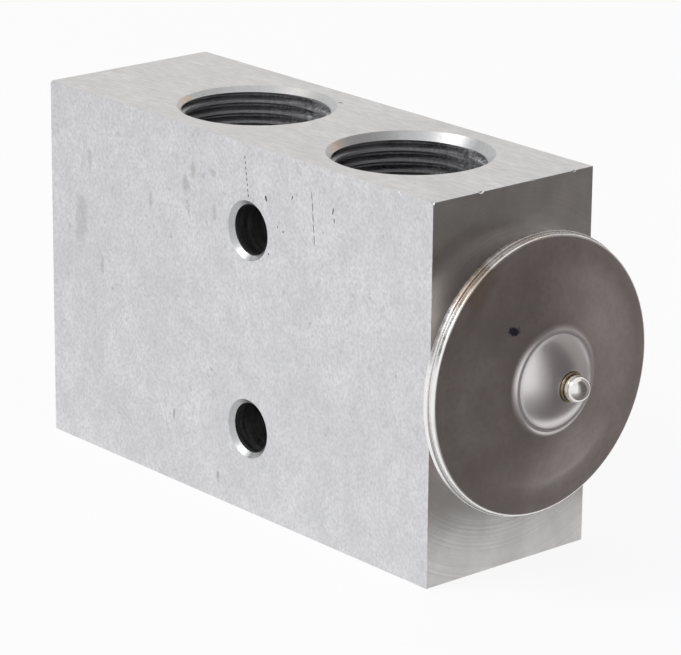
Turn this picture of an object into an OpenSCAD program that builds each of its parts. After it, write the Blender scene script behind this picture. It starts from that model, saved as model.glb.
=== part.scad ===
// Block expansion valve of an air conditioning circuit, with its power head and its inner works.
// Millimetres. X runs along the block towards the power head, Y across it and Z up.
// The origin is the middle of the bottom face, on which the block stands.

/* [Block] */
// Length of the block along the valve axis
body_l = 80.6; // [80:0.2:88]
// Width of the block
body_w = 28; // [27.6:0.2:34]
// Height of the block between its two port faces
body_h = 52; // [51:0.5:58]
// Height of the valve axis above the bottom face
axis_z = 27.7; // [26.5:0.1:29]

/* [Refrigerant ports] */
// Thread diameter of both suction ports and of the liquid outlet
port_d = 22; // [20:0.5:22.5]
// Thread diameter of the liquid inlet in the bottom face
inlet_d = 18; // [16:0.5:19]
// Pitch of the port threads
port_pitch = 1.5; // [1:0.25:2]
// Depth of the threaded part of a port
port_depth = 10; // [8:0.5:10.5]
// Distance from the adjusting screw's end face to the middle of the liquid outlet
liquid_inset = 28.9; // [27.9:0.1:29.3]
// Distance from the power head's end face to the middle of the suction passage
suction_inset = 19.9; // [19.3:0.1:20.5]
// Space between the spring chamber's floor and the liquid inlet passage
inlet_gap = 0.3; // [0.1:0.1:0.8]
// Width of the chamfer at the mouth of the liquid outlet
liquid_mouth_w = 0.9; // [0.8:0.05:1.3]
// Depth of the chamfer at the mouth of the liquid outlet
liquid_mouth_h = 0.8; // [0.4:0.1:1.5]
// Width of the chamfer at the mouth of the suction ports
suction_mouth_w = 1.05; // [0.8:0.05:1.3]
// Depth of the chamfer at the mouth of the suction ports
suction_mouth_h = 1.2; // [0.6:0.1:2]
// Width of the chamfer at the mouth of the liquid inlet
inlet_mouth_w = 1.1; // [0.8:0.05:1.5]
// Depth of the chamfer at the mouth of the liquid inlet
inlet_mouth_h = 1; // [0.5:0.1:2]
// Drill diameter of the liquid outlet passage
liquid_drill_d = 8; // [6:0.2:8.4]
// Drill diameter of the suction passage
suction_drill_d = 15; // [13:0.5:16]
// Drill diameter of the liquid inlet passage
inlet_drill_d = 8; // [6:0.2:8.4]

/* [Mounting holes] */
// Diameter of the two cross holes
mount_hole_d = 7; // [6:0.1:7.4]
// Distance between the two cross holes
mount_hole_pitch = 28; // [27:0.5:30]
// Distance of the cross holes from the middle between the two upper ports, away from the head
mount_hole_shift = 0.8; // [-0.5:0.1:1.3]
// Width of the chamfer at both ends of a cross hole
mount_mouth_w = 0.65; // [0.3:0.05:1]
// Depth of the chamfer at both ends of a cross hole
mount_mouth_h = 0.65; // [0.3:0.05:1]

/* [Orifice and ball] */
// Diameter of the metering orifice
orifice_d = 4.4; // [3.6:0.1:4.6]
// Outer diameter of the pressed-in orifice seat
seat_d = 8; // [7.4:0.1:9]
// Length of the orifice seat
seat_l = 3; // [2.4:0.1:3.6]
// Width of the conical face on which the ball closes, measured outwards
seat_cone = 1; // [0.9:0.05:1.3]
// Wall left between the seat pocket and the outlet passage
seat_wall = 1.2; // [0.8:0.1:1.6]
// Height by which the seat stands proud of its pocket
seat_proud = 0.4; // [0.2:0.1:0.8]
// Diameter of the valve ball
ball_d = 7; // [6.6:0.1:7.8]

/* [Ball carrier and spring] */
// Diameter of the spring chamber
chamber_d = 12.4; // [12.2:0.1:12.8]
// Radial space between the carrier's flange and the chamber's wall
carrier_play = 1; // [0.8:0.05:1.3]
// Thickness of the carrier's flange
carrier_t = 3.2; // [3:0.1:3.6]
// Mouth diameter of the cone in which the ball lies
carrier_nest_d = 6.6; // [6:0.1:7.2]
// Radial space inside and outside the spring
spring_play = 0.3; // [0.15:0.05:0.4]
// Length of the pilot behind the clip
pilot_l = 2.6; // [2:0.1:3]
// Sheet thickness of the damper clip
clip_t = 0.3; // [0.2:0.05:0.4]
// Number of legs on the damper clip
clip_legs = 3; // [3:1:4]
// Width of one leg of the damper clip
clip_leg_w = 3; // [2:0.1:3.6]
// Wire diameter of the superheat spring
wire_d = 1; // [0.8:0.05:1.1]
// Mean coil diameter of the superheat spring
coil_d = 6.6; // [6.5:0.05:6.8]
// Number of turns of the superheat spring
coil_turns = 5; // [4:0.5:5.5]

/* [Adjusting screw] */
// Thread diameter of the adjusting screw
adjuster_d = 14; // [13.8:0.1:15]
// Pitch of the adjusting thread
adjuster_pitch = 1; // [0.75:0.05:1]
// Depth at which the screw lies below the end face
adjuster_recess = 1.1; // [1:0.1:2]
// Length of the threaded head of the screw
adjuster_head_l = 4; // [3.6:0.1:4.4]
// Length of the smooth nose of the screw
adjuster_nose_l = 6.2; // [5.8:0.1:6.4]
// Depth of the spring pocket in the nose
pocket_depth = 5.6; // [5:0.1:5.8]
// Width across flats of the hexagon socket
socket_w = 6; // [5:0.5:6]
// Depth of the hexagon socket
socket_depth = 3.2; // [2.6:0.1:3.4]
// Section diameter of the screw's O-ring
adjuster_ring_d = 1.2; // [1:0.05:1.3]
// Distance from the front of the nose to the middle of the O-ring
adjuster_ring_back = 1.8; // [1.6:0.1:2.4]
// Depth of the tapped part of the adjuster bore
adjuster_tap_l = 6.7; // [6.4:0.1:6.9]

/* [Rods] */
// Diameter of the sensing rod
sensing_d = 6; // [5:0.1:6.4]
// Diameter of the push rod
push_d = 2.4; // [2:0.1:3]
// Depth to which the sensing rod enters the wall beside the suction passage
guide_depth = 5.9; // [5.4:0.1:6.4]
// Depth of the push rod's socket in the sensing rod
push_socket = 3; // [2:0.1:4]
// Room left behind the sensing rod for its stroke
stroke_room = 1.1; // [0.9:0.1:1.5]
// Section diameter of the rod's O-ring
rod_ring_d = 1.36; // [1.1:0.02:1.4]
// Depth of the counterbore that holds the rod's O-ring
rod_ring_depth = 3.7; // [3.3:0.1:4.2]
// Thickness of the retainer that keeps the rod's O-ring in
retainer_t = 0.4; // [0.3:0.05:0.6]

/* [Power head] */
// Outer diameter of the power head
head_d = 38; // [36:0.5:40]
// Step from the edge of the base in to the edge of the cover
cover_step = 0.28; // [0.1:0.02:0.6]
// Distance from the block's end face to the back of the rim
rim_off = 4.2; // [4:0.1:4.6]
// Sheet thickness at the rim of the base
base_t = 0.8; // [0.7:0.05:1]
// Thickness of the diaphragm
diaphragm_t = 0.2; // [0.15:0.05:0.25]
// Sheet thickness of the cover
cover_t = 0.8; // [0.7:0.05:1]
// Width of the flat ring along the rim of the cover
flat_ring_w = 2.87; // [2:0.01:3.2]
// Height of the shallow cone between the flat ring and the dome
cone_h = 2.2; // [1.6:0.1:2.6]
// Diameter of the bead at the foot of the dome
dome_foot_d = 13.7; // [13.3:0.1:15]
// Width of the bead at the foot of the dome
foot_w = 0.55; // [0.4:0.05:0.9]
// Height of the bead at the foot of the dome
foot_h = 0.36; // [0.2:0.02:0.5]
// Height of the dome above the bead
dome_h = 3; // [2.4:0.1:3.2]
// Diameter of the ball that closes the charging hole
charge_ball_d = 3.56; // [3.2:0.04:3.8]
// Distance from the top of the dome up to the middle of the charging ball
charge_ball_up = 0.72; // [0.5:0.02:0.9]
// Thread diameter of the power head's hub
hub_d = 22; // [20:0.5:22.2]
// Wall of the hub
hub_wall = 2.4; // [2:0.1:3]
// Length of the hub inside the block
hub_l = 8; // [7:0.1:8.6]
// Depth of the tapped bore for the hub
hub_bore_depth = 9; // [8.8:0.1:9.4]
// Depth and width of the chamfer that holds the head's seal ring
seal_chamfer = 1.9; // [1.8:0.05:2]
// Width of the flat land of the base that lies on the block, outside the seal chamfer
base_land = 0.7; // [0.4:0.1:0.9]
// Thickness of the bottom of the base
base_floor_t = 1; // [0.8:0.1:1.2]
// Width of the flat rim of the base
base_rim_w = 1.8; // [1.4:0.1:2]
// Radial space between the pad and the bottom of the base
pad_play = 1.6; // [1.4:0.1:2.6]
// Thickness of the pad's plate
pad_t = 2.2; // [1.6:0.1:2.4]
// Diameter of the pad's boss
boss_d = 10; // [9:0.1:11]
// Length of the pad's boss below its plate
boss_l = 6; // [5:0.1:6.8]
// Depth of the socket in the boss
boss_socket = 4; // [3:0.1:4.6]
// Diameter of the passage between the head's bore and the suction passage
link_d = 10.4; // [9:0.1:11]

/* [Clearances] */
// Radial play of a sliding or turning fit
running_gap = 0.05; // [0.02:0.01:0.08]
// Gap that is left where two pieces of the valve touch
touch_gap = 0.03; // [0.02:0.01:0.05]

/* [Hidden] */
$fn = 96;
// Half the point angle of a twist drill
drill_half_angle = 59;
// Overrun of a cut past the face it starts from
cut = 0.5;
// Share of the pitch by which an inner thread's crests stand inside its nominal radius
crest_share = 0.5413;
// Amount by which the chamfered mouth of the adjuster bore is wider than its thread, at the radius
tap_lead = 0.3;

// Diameters that follow from the sizes above
pilot_d = coil_d - wire_d - 2 * spring_play;
pocket_d = coil_d + wire_d + 2 * spring_play;
carrier_d = chamber_d - 2 * carrier_play;
cover_d = head_d - 2 * cover_step;
flat_ring_d = cover_d - 2 * flat_ring_w;
dome_d = dome_foot_d - 2 * foot_w;
base_floor_d = hub_d + 2 * (seal_chamfer + base_land);
base_rim_d = head_d - 2 * base_rim_w;
pad_d = base_floor_d - 2 * pad_play;

// Places along the block, from the two end faces inwards
end_x = body_l / 2;
tail_x = -body_l / 2;
liquid_x = tail_x + liquid_inset;
suction_x = end_x - suction_inset;
mount_hole_x = (liquid_x + suction_x) / 2 - mount_hole_shift;
port_r = port_d / 2 - crest_share * port_pitch;
inlet_r = inlet_d / 2 - crest_share * port_pitch;

// Seat and ball, from the outlet passage towards the tail
seat_back_x = liquid_x - liquid_drill_d / 2 - seat_wall;
seat_face_x = seat_back_x - seat_l;
chamber_floor_x = seat_face_x + seat_proud;
inlet_x = chamber_floor_x - inlet_gap - inlet_drill_d / 2;
seat_mouth_r = orifice_d / 2 + seat_cone;
ball_r = ball_d / 2;
ball_x = seat_face_x + seat_mouth_r - ball_r * sqrt(2) - touch_gap;

// Carrier, clip and spring behind the ball
nest_tip_x = ball_x - ball_r * sqrt(2) - touch_gap;
carrier_face_x = nest_tip_x + carrier_nest_d / 2;
carrier_back_x = carrier_face_x - carrier_t;
clip_back_x = carrier_back_x - clip_t;
clip_reach_r = chamber_d / 2 - 3 * running_gap;

// Adjusting screw, from the tail inwards
adjuster_out_x = tail_x + adjuster_recess;
nose_back_x = adjuster_out_x + adjuster_head_l;
nose_front_x = nose_back_x + adjuster_nose_l;
pocket_floor_x = nose_front_x - pocket_depth;
adjuster_bore_r = adjuster_d / 2 - crest_share * adjuster_pitch;
nose_r = chamber_d / 2 - 2 * running_gap;
adjuster_ring_r = chamber_d / 2 - adjuster_ring_d / 2 - touch_gap;
adjuster_groove_r = adjuster_ring_r - adjuster_ring_d / 2 - touch_gap;
spring_l = clip_back_x - pocket_floor_x;

// Rods, from the wall beside the suction passage to the power head
guide_mouth_x = suction_x - suction_drill_d / 2;
guide_floor_x = guide_mouth_x - guide_depth - stroke_room;
sensing_start_x = guide_floor_x + stroke_room;
push_end_x = sensing_start_x + push_socket;
rod_ring_seat_r = sensing_d / 2 + rod_ring_d + 2 * touch_gap;
rod_ring_floor_x = guide_mouth_x - rod_ring_depth;

// Power head, from the block's end face outwards
base_top_x = end_x + rim_off + base_t;
cover_back_x = base_top_x + diaphragm_t;
cover_face_x = cover_back_x + cover_t;
foot_x = cover_face_x + cone_h;
dome_x = foot_x + foot_h;
dome_r = dome_d / 2;
dome_top_x = dome_x + dome_h;
dome_sphere_r = (dome_r * dome_r + dome_h * dome_h) / (2 * dome_h);
dome_centre_x = dome_top_x - dome_sphere_r;
// How far the base's inner side lies inside its outer side, at its floor and at its rim
floor_inset = 0.5;
rim_inset = 0.6;
charge_ball_x = dome_top_x + charge_ball_up;
// Width of the ring-shaped recess round the charging ball
charge_recess_w = 0.2;
// Drop of the diaphragm's middle below its rim, and height of its ring-shaped wave
disc_drop = 0.55;
wave_h = 0.22;
// How far the diaphragm's wave starts outside the pad, and its edge stays inside the cover's
wave_margin = 0.3;
disc_inset = 0.25;
disc_back_x = base_top_x - disc_drop;
pad_top_x = disc_back_x - touch_gap;
pad_back_x = pad_top_x - pad_t;
boss_end_x = pad_back_x - boss_l;
sensing_end_x = boss_end_x + boss_socket;

// Cylinder on the valve axis, from one place along the block to another
module bar_x(from_x, to_x, r) {
    translate([from_x, 0, axis_z]) rotate([0, 90, 0]) cylinder(h = to_x - from_x, r = r);
}

// Cone on the valve axis, with its radius at each end
module cone_x(from_x, to_x, from_r, to_r) {
    translate([from_x, 0, axis_z]) rotate([0, 90, 0]) cylinder(h = to_x - from_x, r1 = from_r, r2 = to_r);
}

// Ring of round section on the valve axis
module ring_x(at_x, ring_r, section_r) {
    translate([at_x, 0, axis_z]) rotate([0, 90, 0])
        rotate_extrude() translate([ring_r, 0]) circle(r = section_r, $fn = 32);
}

// Turned solid on the valve axis, whose outline has the radius as x and the place along the block as y
module turned_x() {
    translate([0, 0, axis_z]) rotate([0, 90, 0]) rotate_extrude() children();
}

// Cut for a tapped port, with its mouth at the origin and its passage downwards
module port_cut(thread_r, mouth_w, mouth_h, drill_r, drill_l) {
    mouth_r = thread_r + mouth_w;
    point_h = (thread_r - drill_r) / tan(drill_half_angle);
    translate([0, 0, -port_depth]) cylinder(h = port_depth + cut, r = thread_r);
    translate([0, 0, -mouth_h]) cylinder(h = mouth_h, r1 = thread_r, r2 = mouth_r);
    cylinder(h = cut, r = mouth_r);
    translate([0, 0, -port_depth - point_h]) cylinder(h = point_h, r1 = drill_r, r2 = thread_r);
    translate([0, 0, -drill_l]) cylinder(h = drill_l, r = drill_r);
}

// Point that a drill leaves at the end of a blind hole, below the origin
module drill_point(drill_r) {
    tip_h = drill_r / tan(drill_half_angle);
    translate([0, 0, -tip_h]) cylinder(h = tip_h, r1 = 0, r2 = drill_r);
}

module liquid_outlet_cut() {
    drill_r = liquid_drill_d / 2;
    drill_l = body_h - axis_z + orifice_d / 2;
    translate([liquid_x, 0, body_h]) {
        port_cut(port_r, liquid_mouth_w, liquid_mouth_h, drill_r, drill_l);
        translate([0, 0, -drill_l]) drill_point(drill_r);
    }
}

module liquid_inlet_cut() {
    drill_r = inlet_drill_d / 2;
    drill_l = axis_z - orifice_d / 2;
    translate([inlet_x, 0, 0]) rotate([180, 0, 0]) {
        port_cut(inlet_r, inlet_mouth_w, inlet_mouth_h, drill_r, drill_l);
        translate([0, 0, -drill_l]) drill_point(drill_r);
    }
}

module suction_cut() {
    half = body_h / 2 + cut;
    for (top = [true, false])
        translate([suction_x, 0, top ? body_h : 0]) rotate([top ? 0 : 180, 0, 0])
            port_cut(port_r, suction_mouth_w, suction_mouth_h, suction_drill_d / 2, half);
}

module mounting_hole_cuts() {
    hole_r = mount_hole_d / 2;
    mouth_r = hole_r + mount_mouth_w;
    for (side = [-1, 1])
        translate([mount_hole_x, 0, body_h / 2 + side * mount_hole_pitch / 2]) rotate([90, 0, 0]) {
            cylinder(h = body_w + 2 * cut, r = hole_r, center = true);
            for (turn = [0, 180])
                rotate([turn, 0, 0]) translate([0, 0, body_w / 2 - mount_mouth_h]) {
                    cylinder(h = mount_mouth_h, r1 = hole_r, r2 = mouth_r);
                    translate([0, 0, mount_mouth_h]) cylinder(h = cut, r = mouth_r);
                }
        }
}

// Spring chamber, seat pocket and tapped bore of the adjusting screw
module tail_bore_cut() {
    mouth_r = adjuster_d / 2 + tap_lead;
    mouth_h = mouth_r - adjuster_bore_r;
    bar_x(tail_x - cut, tail_x + adjuster_tap_l, adjuster_bore_r);
    cone_x(tail_x, tail_x + mouth_h, mouth_r, adjuster_bore_r);
    bar_x(tail_x + adjuster_tap_l - cut, chamber_floor_x, chamber_d / 2);
    bar_x(chamber_floor_x - cut, seat_back_x, seat_d / 2);
    bar_x(seat_back_x - cut, liquid_x, orifice_d / 2 + running_gap);
}

// Guides of the two rods, the counterbore of their O-ring and the bore of the power head
module head_bore_cut() {
    bar_x(liquid_x, guide_floor_x + cut, push_d / 2 + running_gap);
    bar_x(guide_floor_x, suction_x, sensing_d / 2 + running_gap);
    bar_x(rod_ring_floor_x, suction_x, rod_ring_seat_r);
    bar_x(suction_x, end_x, link_d / 2);
    bar_x(end_x - hub_bore_depth, end_x + cut, hub_d / 2);
    cone_x(end_x - seal_chamfer, end_x, hub_d / 2, hub_d / 2 + seal_chamfer);
}

module valve_block() {
    color([0.80, 0.81, 0.80]) difference() {
        translate([-body_l / 2, -body_w / 2, 0]) cube([body_l, body_w, body_h]);
        liquid_outlet_cut();
        liquid_inlet_cut();
        suction_cut();
        mounting_hole_cuts();
        tail_bore_cut();
        head_bore_cut();
    }
}

module orifice_seat() {
    outer_r = seat_d / 2 - running_gap;
    color([0.62, 0.60, 0.56]) difference() {
        bar_x(seat_face_x, seat_back_x, outer_r);
        bar_x(seat_face_x - cut, seat_back_x + cut, orifice_d / 2);
        cone_x(seat_face_x, seat_face_x + seat_cone, seat_mouth_r, orifice_d / 2);
    }
}

// Pressed base with its turned hub, open towards the diaphragm
module head_base() {
    hub_r = hub_d / 2 - running_gap;
    rim_x = end_x + rim_off;
    slope = (base_rim_d - base_floor_d) / 2;
    color([0.60, 0.57, 0.54]) turned_x() difference() {
        union() {
            translate([0, end_x - hub_l]) square([hub_r, hub_l + base_floor_t]);
            polygon([
                [0, end_x], [base_floor_d / 2, end_x], [base_floor_d / 2 + slope, rim_x],
                [head_d / 2, rim_x], [head_d / 2, base_top_x], [0, base_top_x]
            ]);
        }
        translate([0, end_x - hub_l - cut]) square([hub_r - hub_wall, hub_l + base_floor_t + 2 * cut]);
        polygon([
            [0, end_x + base_floor_t], [base_floor_d / 2 - floor_inset, end_x + base_floor_t],
            [base_rim_d / 2 - rim_inset, base_top_x], [base_rim_d / 2 - rim_inset, base_top_x + cut],
            [0, base_top_x + cut]
        ]);
    }
}

// Seal ring in the chamfer between the block, the hub and the base
module head_seal() {
    leg = seal_chamfer + running_gap;
    section_r = leg * (1 - sqrt(0.5)) - touch_gap;
    color([0.10, 0.10, 0.11])
        ring_x(end_x - section_r - touch_gap, hub_d / 2 - running_gap + section_r + touch_gap, section_r);
}

// Thin disc with one ring-shaped wave outside the pad, held between the base and the cover
module diaphragm() {
    flat_r = pad_d / 2 + wave_margin;
    hold_r = base_rim_d / 2 - rim_inset;
    steps = 12;
    wave = [for (i = [0 : steps]) let (t = i / steps)
        [flat_r + t * (hold_r - flat_r),
         disc_back_x + disc_drop * t + wave_h * sin(360 * t)]];
    upper = [for (i = [steps : -1 : 0]) [wave[i][0], wave[i][1] + diaphragm_t]];
    edge_r = cover_d / 2 - disc_inset;
    color([0.78, 0.72, 0.58]) turned_x()
        polygon(concat(
            [[0, disc_back_x]], wave, [[edge_r, base_top_x], [edge_r, base_top_x + diaphragm_t]],
            upper, [[0, disc_back_x + diaphragm_t]]
        ));
}

// Outline of the cover's outer side, filled back to a given place along the block
module cover_outline(edge_r, from_x) {
    foot_r = dome_foot_d / 2;
    square_h = cover_face_x - from_x;
    translate([0, from_x]) square([edge_r, square_h]);
    polygon([[0, cover_face_x], [flat_ring_d / 2, cover_face_x], [foot_r, foot_x], [0, foot_x]]);
    polygon([[0, foot_x], [foot_r, foot_x], [dome_r, dome_x], [0, dome_x]]);
    intersection() {
        translate([0, dome_centre_x]) circle(r = dome_sphere_r);
        translate([0, foot_x]) square([dome_r, dome_top_x - foot_x]);
    }
}

// Space inside the cover, one sheet thickness behind its outer side
module cover_hollow() {
    slope = atan(2 * cone_h / (flat_ring_d - dome_foot_d));
    lean = cover_t / cos(slope);
    corner = cover_t * tan(slope / 2);
    inner_r = dome_sphere_r - cover_t;
    translate([0, cover_back_x - cut]) square([flat_ring_d / 2 - corner, cut]);
    polygon([
        [0, cover_back_x], [flat_ring_d / 2 - corner, cover_back_x],
        [dome_foot_d / 2 - corner, foot_x - lean], [0, foot_x - lean]
    ]);
    intersection() {
        translate([0, dome_centre_x]) circle(r = inner_r);
        translate([0, foot_x - lean - cut]) square([dome_r - cover_t, dome_top_x - foot_x + cut]);
    }
}

module head_cover() {
    color([0.47, 0.44, 0.42]) difference() {
        turned_x() difference() {
            cover_outline(cover_d / 2, cover_back_x);
            cover_hollow();
        }
        translate([charge_ball_x, 0, axis_z]) sphere(r = charge_ball_d / 2 + touch_gap / 2);
        bar_x(dome_top_x - charge_ball_up / 2, dome_top_x + cut, charge_ball_d / 2 + charge_recess_w);
    }
}

module charge_ball() {
    color([0.86, 0.85, 0.82]) translate([charge_ball_x, 0, axis_z]) sphere(r = charge_ball_d / 2);
}

module diaphragm_pad() {
    color([0.72, 0.62, 0.40]) difference() {
        union() {
            bar_x(pad_back_x, pad_top_x, pad_d / 2);
            bar_x(boss_end_x, pad_back_x + cut, boss_d / 2);
        }
        bar_x(boss_end_x - cut, sensing_end_x, sensing_d / 2 + touch_gap);
    }
}

module sensing_rod() {
    bevel = 0.4;
    rod_r = sensing_d / 2;
    color([0.82, 0.83, 0.84]) difference() {
        union() {
            cone_x(sensing_start_x, sensing_start_x + bevel, rod_r - bevel, rod_r);
            bar_x(sensing_start_x + bevel, sensing_end_x - touch_gap, rod_r);
        }
        bar_x(sensing_start_x - cut, push_end_x, push_d / 2 + touch_gap);
    }
}

module push_rod() {
    bevel = 0.3;
    rod_r = push_d / 2;
    tip_x = ball_x + ball_r;
    color([0.70, 0.70, 0.71]) {
        cone_x(tip_x, tip_x + bevel, rod_r - bevel, rod_r);
        bar_x(tip_x + bevel, push_end_x - touch_gap, rod_r);
    }
}

module rod_o_ring() {
    section_r = rod_ring_d / 2;
    color([0.09, 0.09, 0.10])
        ring_x(rod_ring_floor_x + section_r + touch_gap, sensing_d / 2 + touch_gap + section_r, section_r);
}

// Push nut with slit edges, pressed into the counterbore in front of the O-ring
module rod_seal_retainer() {
    from_x = rod_ring_floor_x + rod_ring_d + 2 * touch_gap;
    outer_r = rod_ring_seat_r - touch_gap;
    slits = 6;
    slit_w = 0.6;
    slit_l = 0.6;
    color([0.66, 0.66, 0.68]) difference() {
        bar_x(from_x, from_x + retainer_t, outer_r);
        bar_x(from_x - cut, from_x + retainer_t + cut, sensing_d / 2 + 3 * running_gap);
        for (i = [0 : slits - 1])
            translate([from_x - cut, 0, axis_z]) rotate([360 * i / slits, 0, 0])
                translate([0, -slit_w / 2, outer_r - slit_l])
                    cube([retainer_t + 2 * cut, slit_w, slit_l + cut]);
    }
}

module valve_ball() {
    color([0.80, 0.80, 0.81]) translate([ball_x, 0, axis_z]) sphere(r = ball_r);
}

// Turned carrier: a flange with a conical nest for the ball, and a pilot for the spring
module ball_carrier() {
    nest_floor_r = 1.1;
    nest_floor_x = nest_tip_x + nest_floor_r;
    color([0.74, 0.62, 0.36]) difference() {
        union() {
            bar_x(carrier_back_x, carrier_face_x, carrier_d / 2);
            bar_x(clip_back_x - pilot_l, carrier_back_x + cut, pilot_d / 2);
        }
        cone_x(nest_floor_x, carrier_face_x, nest_floor_r, carrier_nest_d / 2);
        bar_x(carrier_face_x, carrier_face_x + cut, carrier_nest_d / 2);
    }
}

// Damper clip: a flat ring behind the carrier, with legs that lie along the chamber's wall
module damper_clip() {
    ring_inset = 0.8;
    leg_root = 0.5;
    leg_tip = 0.6;
    ring_r = carrier_d / 2 - ring_inset;
    leg_in_r = clip_reach_r - clip_t;
    leg_l = carrier_t + clip_t + leg_tip;
    hole_r = pilot_d / 2 + running_gap;
    color([0.68, 0.68, 0.70]) translate([clip_back_x, 0, axis_z]) rotate([0, 90, 0]) {
        difference() {
            cylinder(h = clip_t, r = ring_r);
            translate([0, 0, -cut]) cylinder(h = clip_t + 2 * cut, r = hole_r);
        }
        for (i = [0 : clip_legs - 1])
            rotate([0, 0, 360 * i / clip_legs]) {
                intersection() {
                    difference() {
                        cylinder(h = leg_l, r = clip_reach_r);
                        translate([0, 0, clip_t]) cylinder(h = leg_l, r = leg_in_r);
                    }
                    translate([ring_r - leg_root, -clip_leg_w / 2, 0]) cube([chamber_d, clip_leg_w, leg_l]);
                }
            }
    }
}

// Coil spring: a round section swept along the coil, with its end turns lying close
module superheat_spring() {
    sides = 8;
    per_turn = 16;
    rings = coil_turns * per_turn;
    wire_r = wire_d / 2 - touch_gap;
    travel = spring_l - wire_d;
    end_turn_share = 0.75;
    closed = end_turn_share * wire_d;
    open_turns = coil_turns - 2;
    function rise(turn) =
        turn < 1 ? closed * turn
        : turn > coil_turns - 1 ? travel - closed * (coil_turns - turn)
        : closed + (travel - 2 * closed) * (turn - 1) / open_turns;
    points = [for (i = [0 : rings], k = [0 : sides - 1]) let (
        a = 360 * i / per_turn,
        b = 360 * k / sides,
        out = coil_d / 2 + wire_r * cos(b)
    ) [out * cos(a), out * sin(a), wire_d / 2 + rise(i / per_turn) + wire_r * sin(b)]];
    start = [for (k = [sides - 1 : -1 : 0]) k];
    finish = [for (k = [0 : sides - 1]) rings * sides + k];
    walls = [for (i = [0 : rings - 1], k = [0 : sides - 1]) let (
        n = (k + 1) % sides
    ) [i * sides + k, i * sides + n, (i + 1) * sides + n, (i + 1) * sides + k]];
    color([0.66, 0.67, 0.70]) translate([pocket_floor_x, 0, axis_z]) rotate([0, 90, 0])
        polyhedron(points = points, faces = concat([start], walls, [finish]), convexity = 8);
}

module adjuster_screw() {
    head_r = adjuster_bore_r - running_gap;
    bevel = 0.4;
    groove_side = 0.2;
    groove_w = adjuster_ring_d + 2 * groove_side;
    groove_x = nose_front_x - adjuster_ring_back;
    color([0.72, 0.63, 0.42]) difference() {
        union() {
            cone_x(adjuster_out_x, adjuster_out_x + bevel, head_r - bevel, head_r);
            bar_x(adjuster_out_x + bevel, nose_back_x, head_r);
            bar_x(nose_back_x - cut, nose_front_x - bevel, nose_r);
            cone_x(nose_front_x - bevel, nose_front_x, nose_r, nose_r - bevel);
        }
        difference() {
            bar_x(groove_x - groove_w / 2, groove_x + groove_w / 2, nose_r + cut);
            bar_x(groove_x - groove_w, groove_x + groove_w, adjuster_groove_r);
        }
        bar_x(pocket_floor_x - touch_gap, nose_front_x + cut, pocket_d / 2);
        translate([adjuster_out_x - cut, 0, axis_z]) rotate([0, 90, 0])
            cylinder(h = socket_depth + cut, d = socket_w / cos(30), $fn = 6);
    }
}

module adjuster_o_ring() {
    color([0.09, 0.09, 0.10])
        ring_x(nose_front_x - adjuster_ring_back, adjuster_ring_r, adjuster_ring_d / 2);
}

valve_block();
orifice_seat();
head_base();
head_seal();
diaphragm();
head_cover();
charge_ball();
diaphragm_pad();
sensing_rod();
push_rod();
rod_o_ring();
rod_seal_retainer();
valve_ball();
ball_carrier();
damper_clip();
superheat_spring();
adjuster_screw();
adjuster_o_ring();
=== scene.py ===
# %% [markdown]
# # A block expansion valve, dressed for its photograph
# The valve meters refrigerant into the evaporator of an air conditioning circuit. It is a length of
# aluminium bar with tapped ports, and a round stainless power head is screwed into one end.
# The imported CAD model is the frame. Each shape here is built round it in metres, where the CAD says.

# %% Load the frame and keep its box
from collections import namedtuple
from math import atan2, cos, pi, radians, sin, sqrt, tan

import bmesh
import bpy
from mathutils import Matrix, Vector


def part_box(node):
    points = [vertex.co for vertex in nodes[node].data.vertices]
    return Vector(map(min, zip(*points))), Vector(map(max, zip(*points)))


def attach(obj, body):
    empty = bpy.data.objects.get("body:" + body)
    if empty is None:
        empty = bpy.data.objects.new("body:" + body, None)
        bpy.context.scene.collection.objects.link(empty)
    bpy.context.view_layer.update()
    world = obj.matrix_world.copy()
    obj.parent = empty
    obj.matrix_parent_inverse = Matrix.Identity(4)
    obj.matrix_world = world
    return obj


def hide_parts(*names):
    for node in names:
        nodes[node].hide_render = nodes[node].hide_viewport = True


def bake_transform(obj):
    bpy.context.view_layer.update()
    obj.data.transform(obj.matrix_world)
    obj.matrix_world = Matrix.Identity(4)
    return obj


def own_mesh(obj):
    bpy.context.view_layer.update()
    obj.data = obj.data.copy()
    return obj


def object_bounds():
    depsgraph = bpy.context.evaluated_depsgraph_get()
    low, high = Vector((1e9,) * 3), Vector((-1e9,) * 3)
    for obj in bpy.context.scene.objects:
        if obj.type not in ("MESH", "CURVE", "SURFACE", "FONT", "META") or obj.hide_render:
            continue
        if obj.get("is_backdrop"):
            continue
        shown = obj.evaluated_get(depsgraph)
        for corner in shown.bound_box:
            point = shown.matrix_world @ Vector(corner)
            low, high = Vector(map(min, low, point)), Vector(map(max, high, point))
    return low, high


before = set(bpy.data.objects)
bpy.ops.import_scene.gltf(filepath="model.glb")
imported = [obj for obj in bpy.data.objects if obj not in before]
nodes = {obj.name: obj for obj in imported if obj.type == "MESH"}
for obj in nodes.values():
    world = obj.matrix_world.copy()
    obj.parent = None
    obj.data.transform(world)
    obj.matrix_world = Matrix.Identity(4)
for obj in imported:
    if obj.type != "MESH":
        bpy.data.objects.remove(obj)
cad_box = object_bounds()
scene = bpy.context.scene
MM, MICRON = 0.001, 0.000001
AXIS_Z = 27.7
print("CAD box in mm:", [[round(v / MM, 2) for v in corner] for corner in cad_box])
print("the valve's axis lies", AXIS_Z, "mm high")

# %% [markdown]
# ## The camera
# The photograph shows three faces of the block, so its corners fix the camera: a long lens, half a
# metre away, above the side with the cross holes. The numbers come from matching those corners.
# The camera's own axes are worked out here and given to the object as one matrix.

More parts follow.
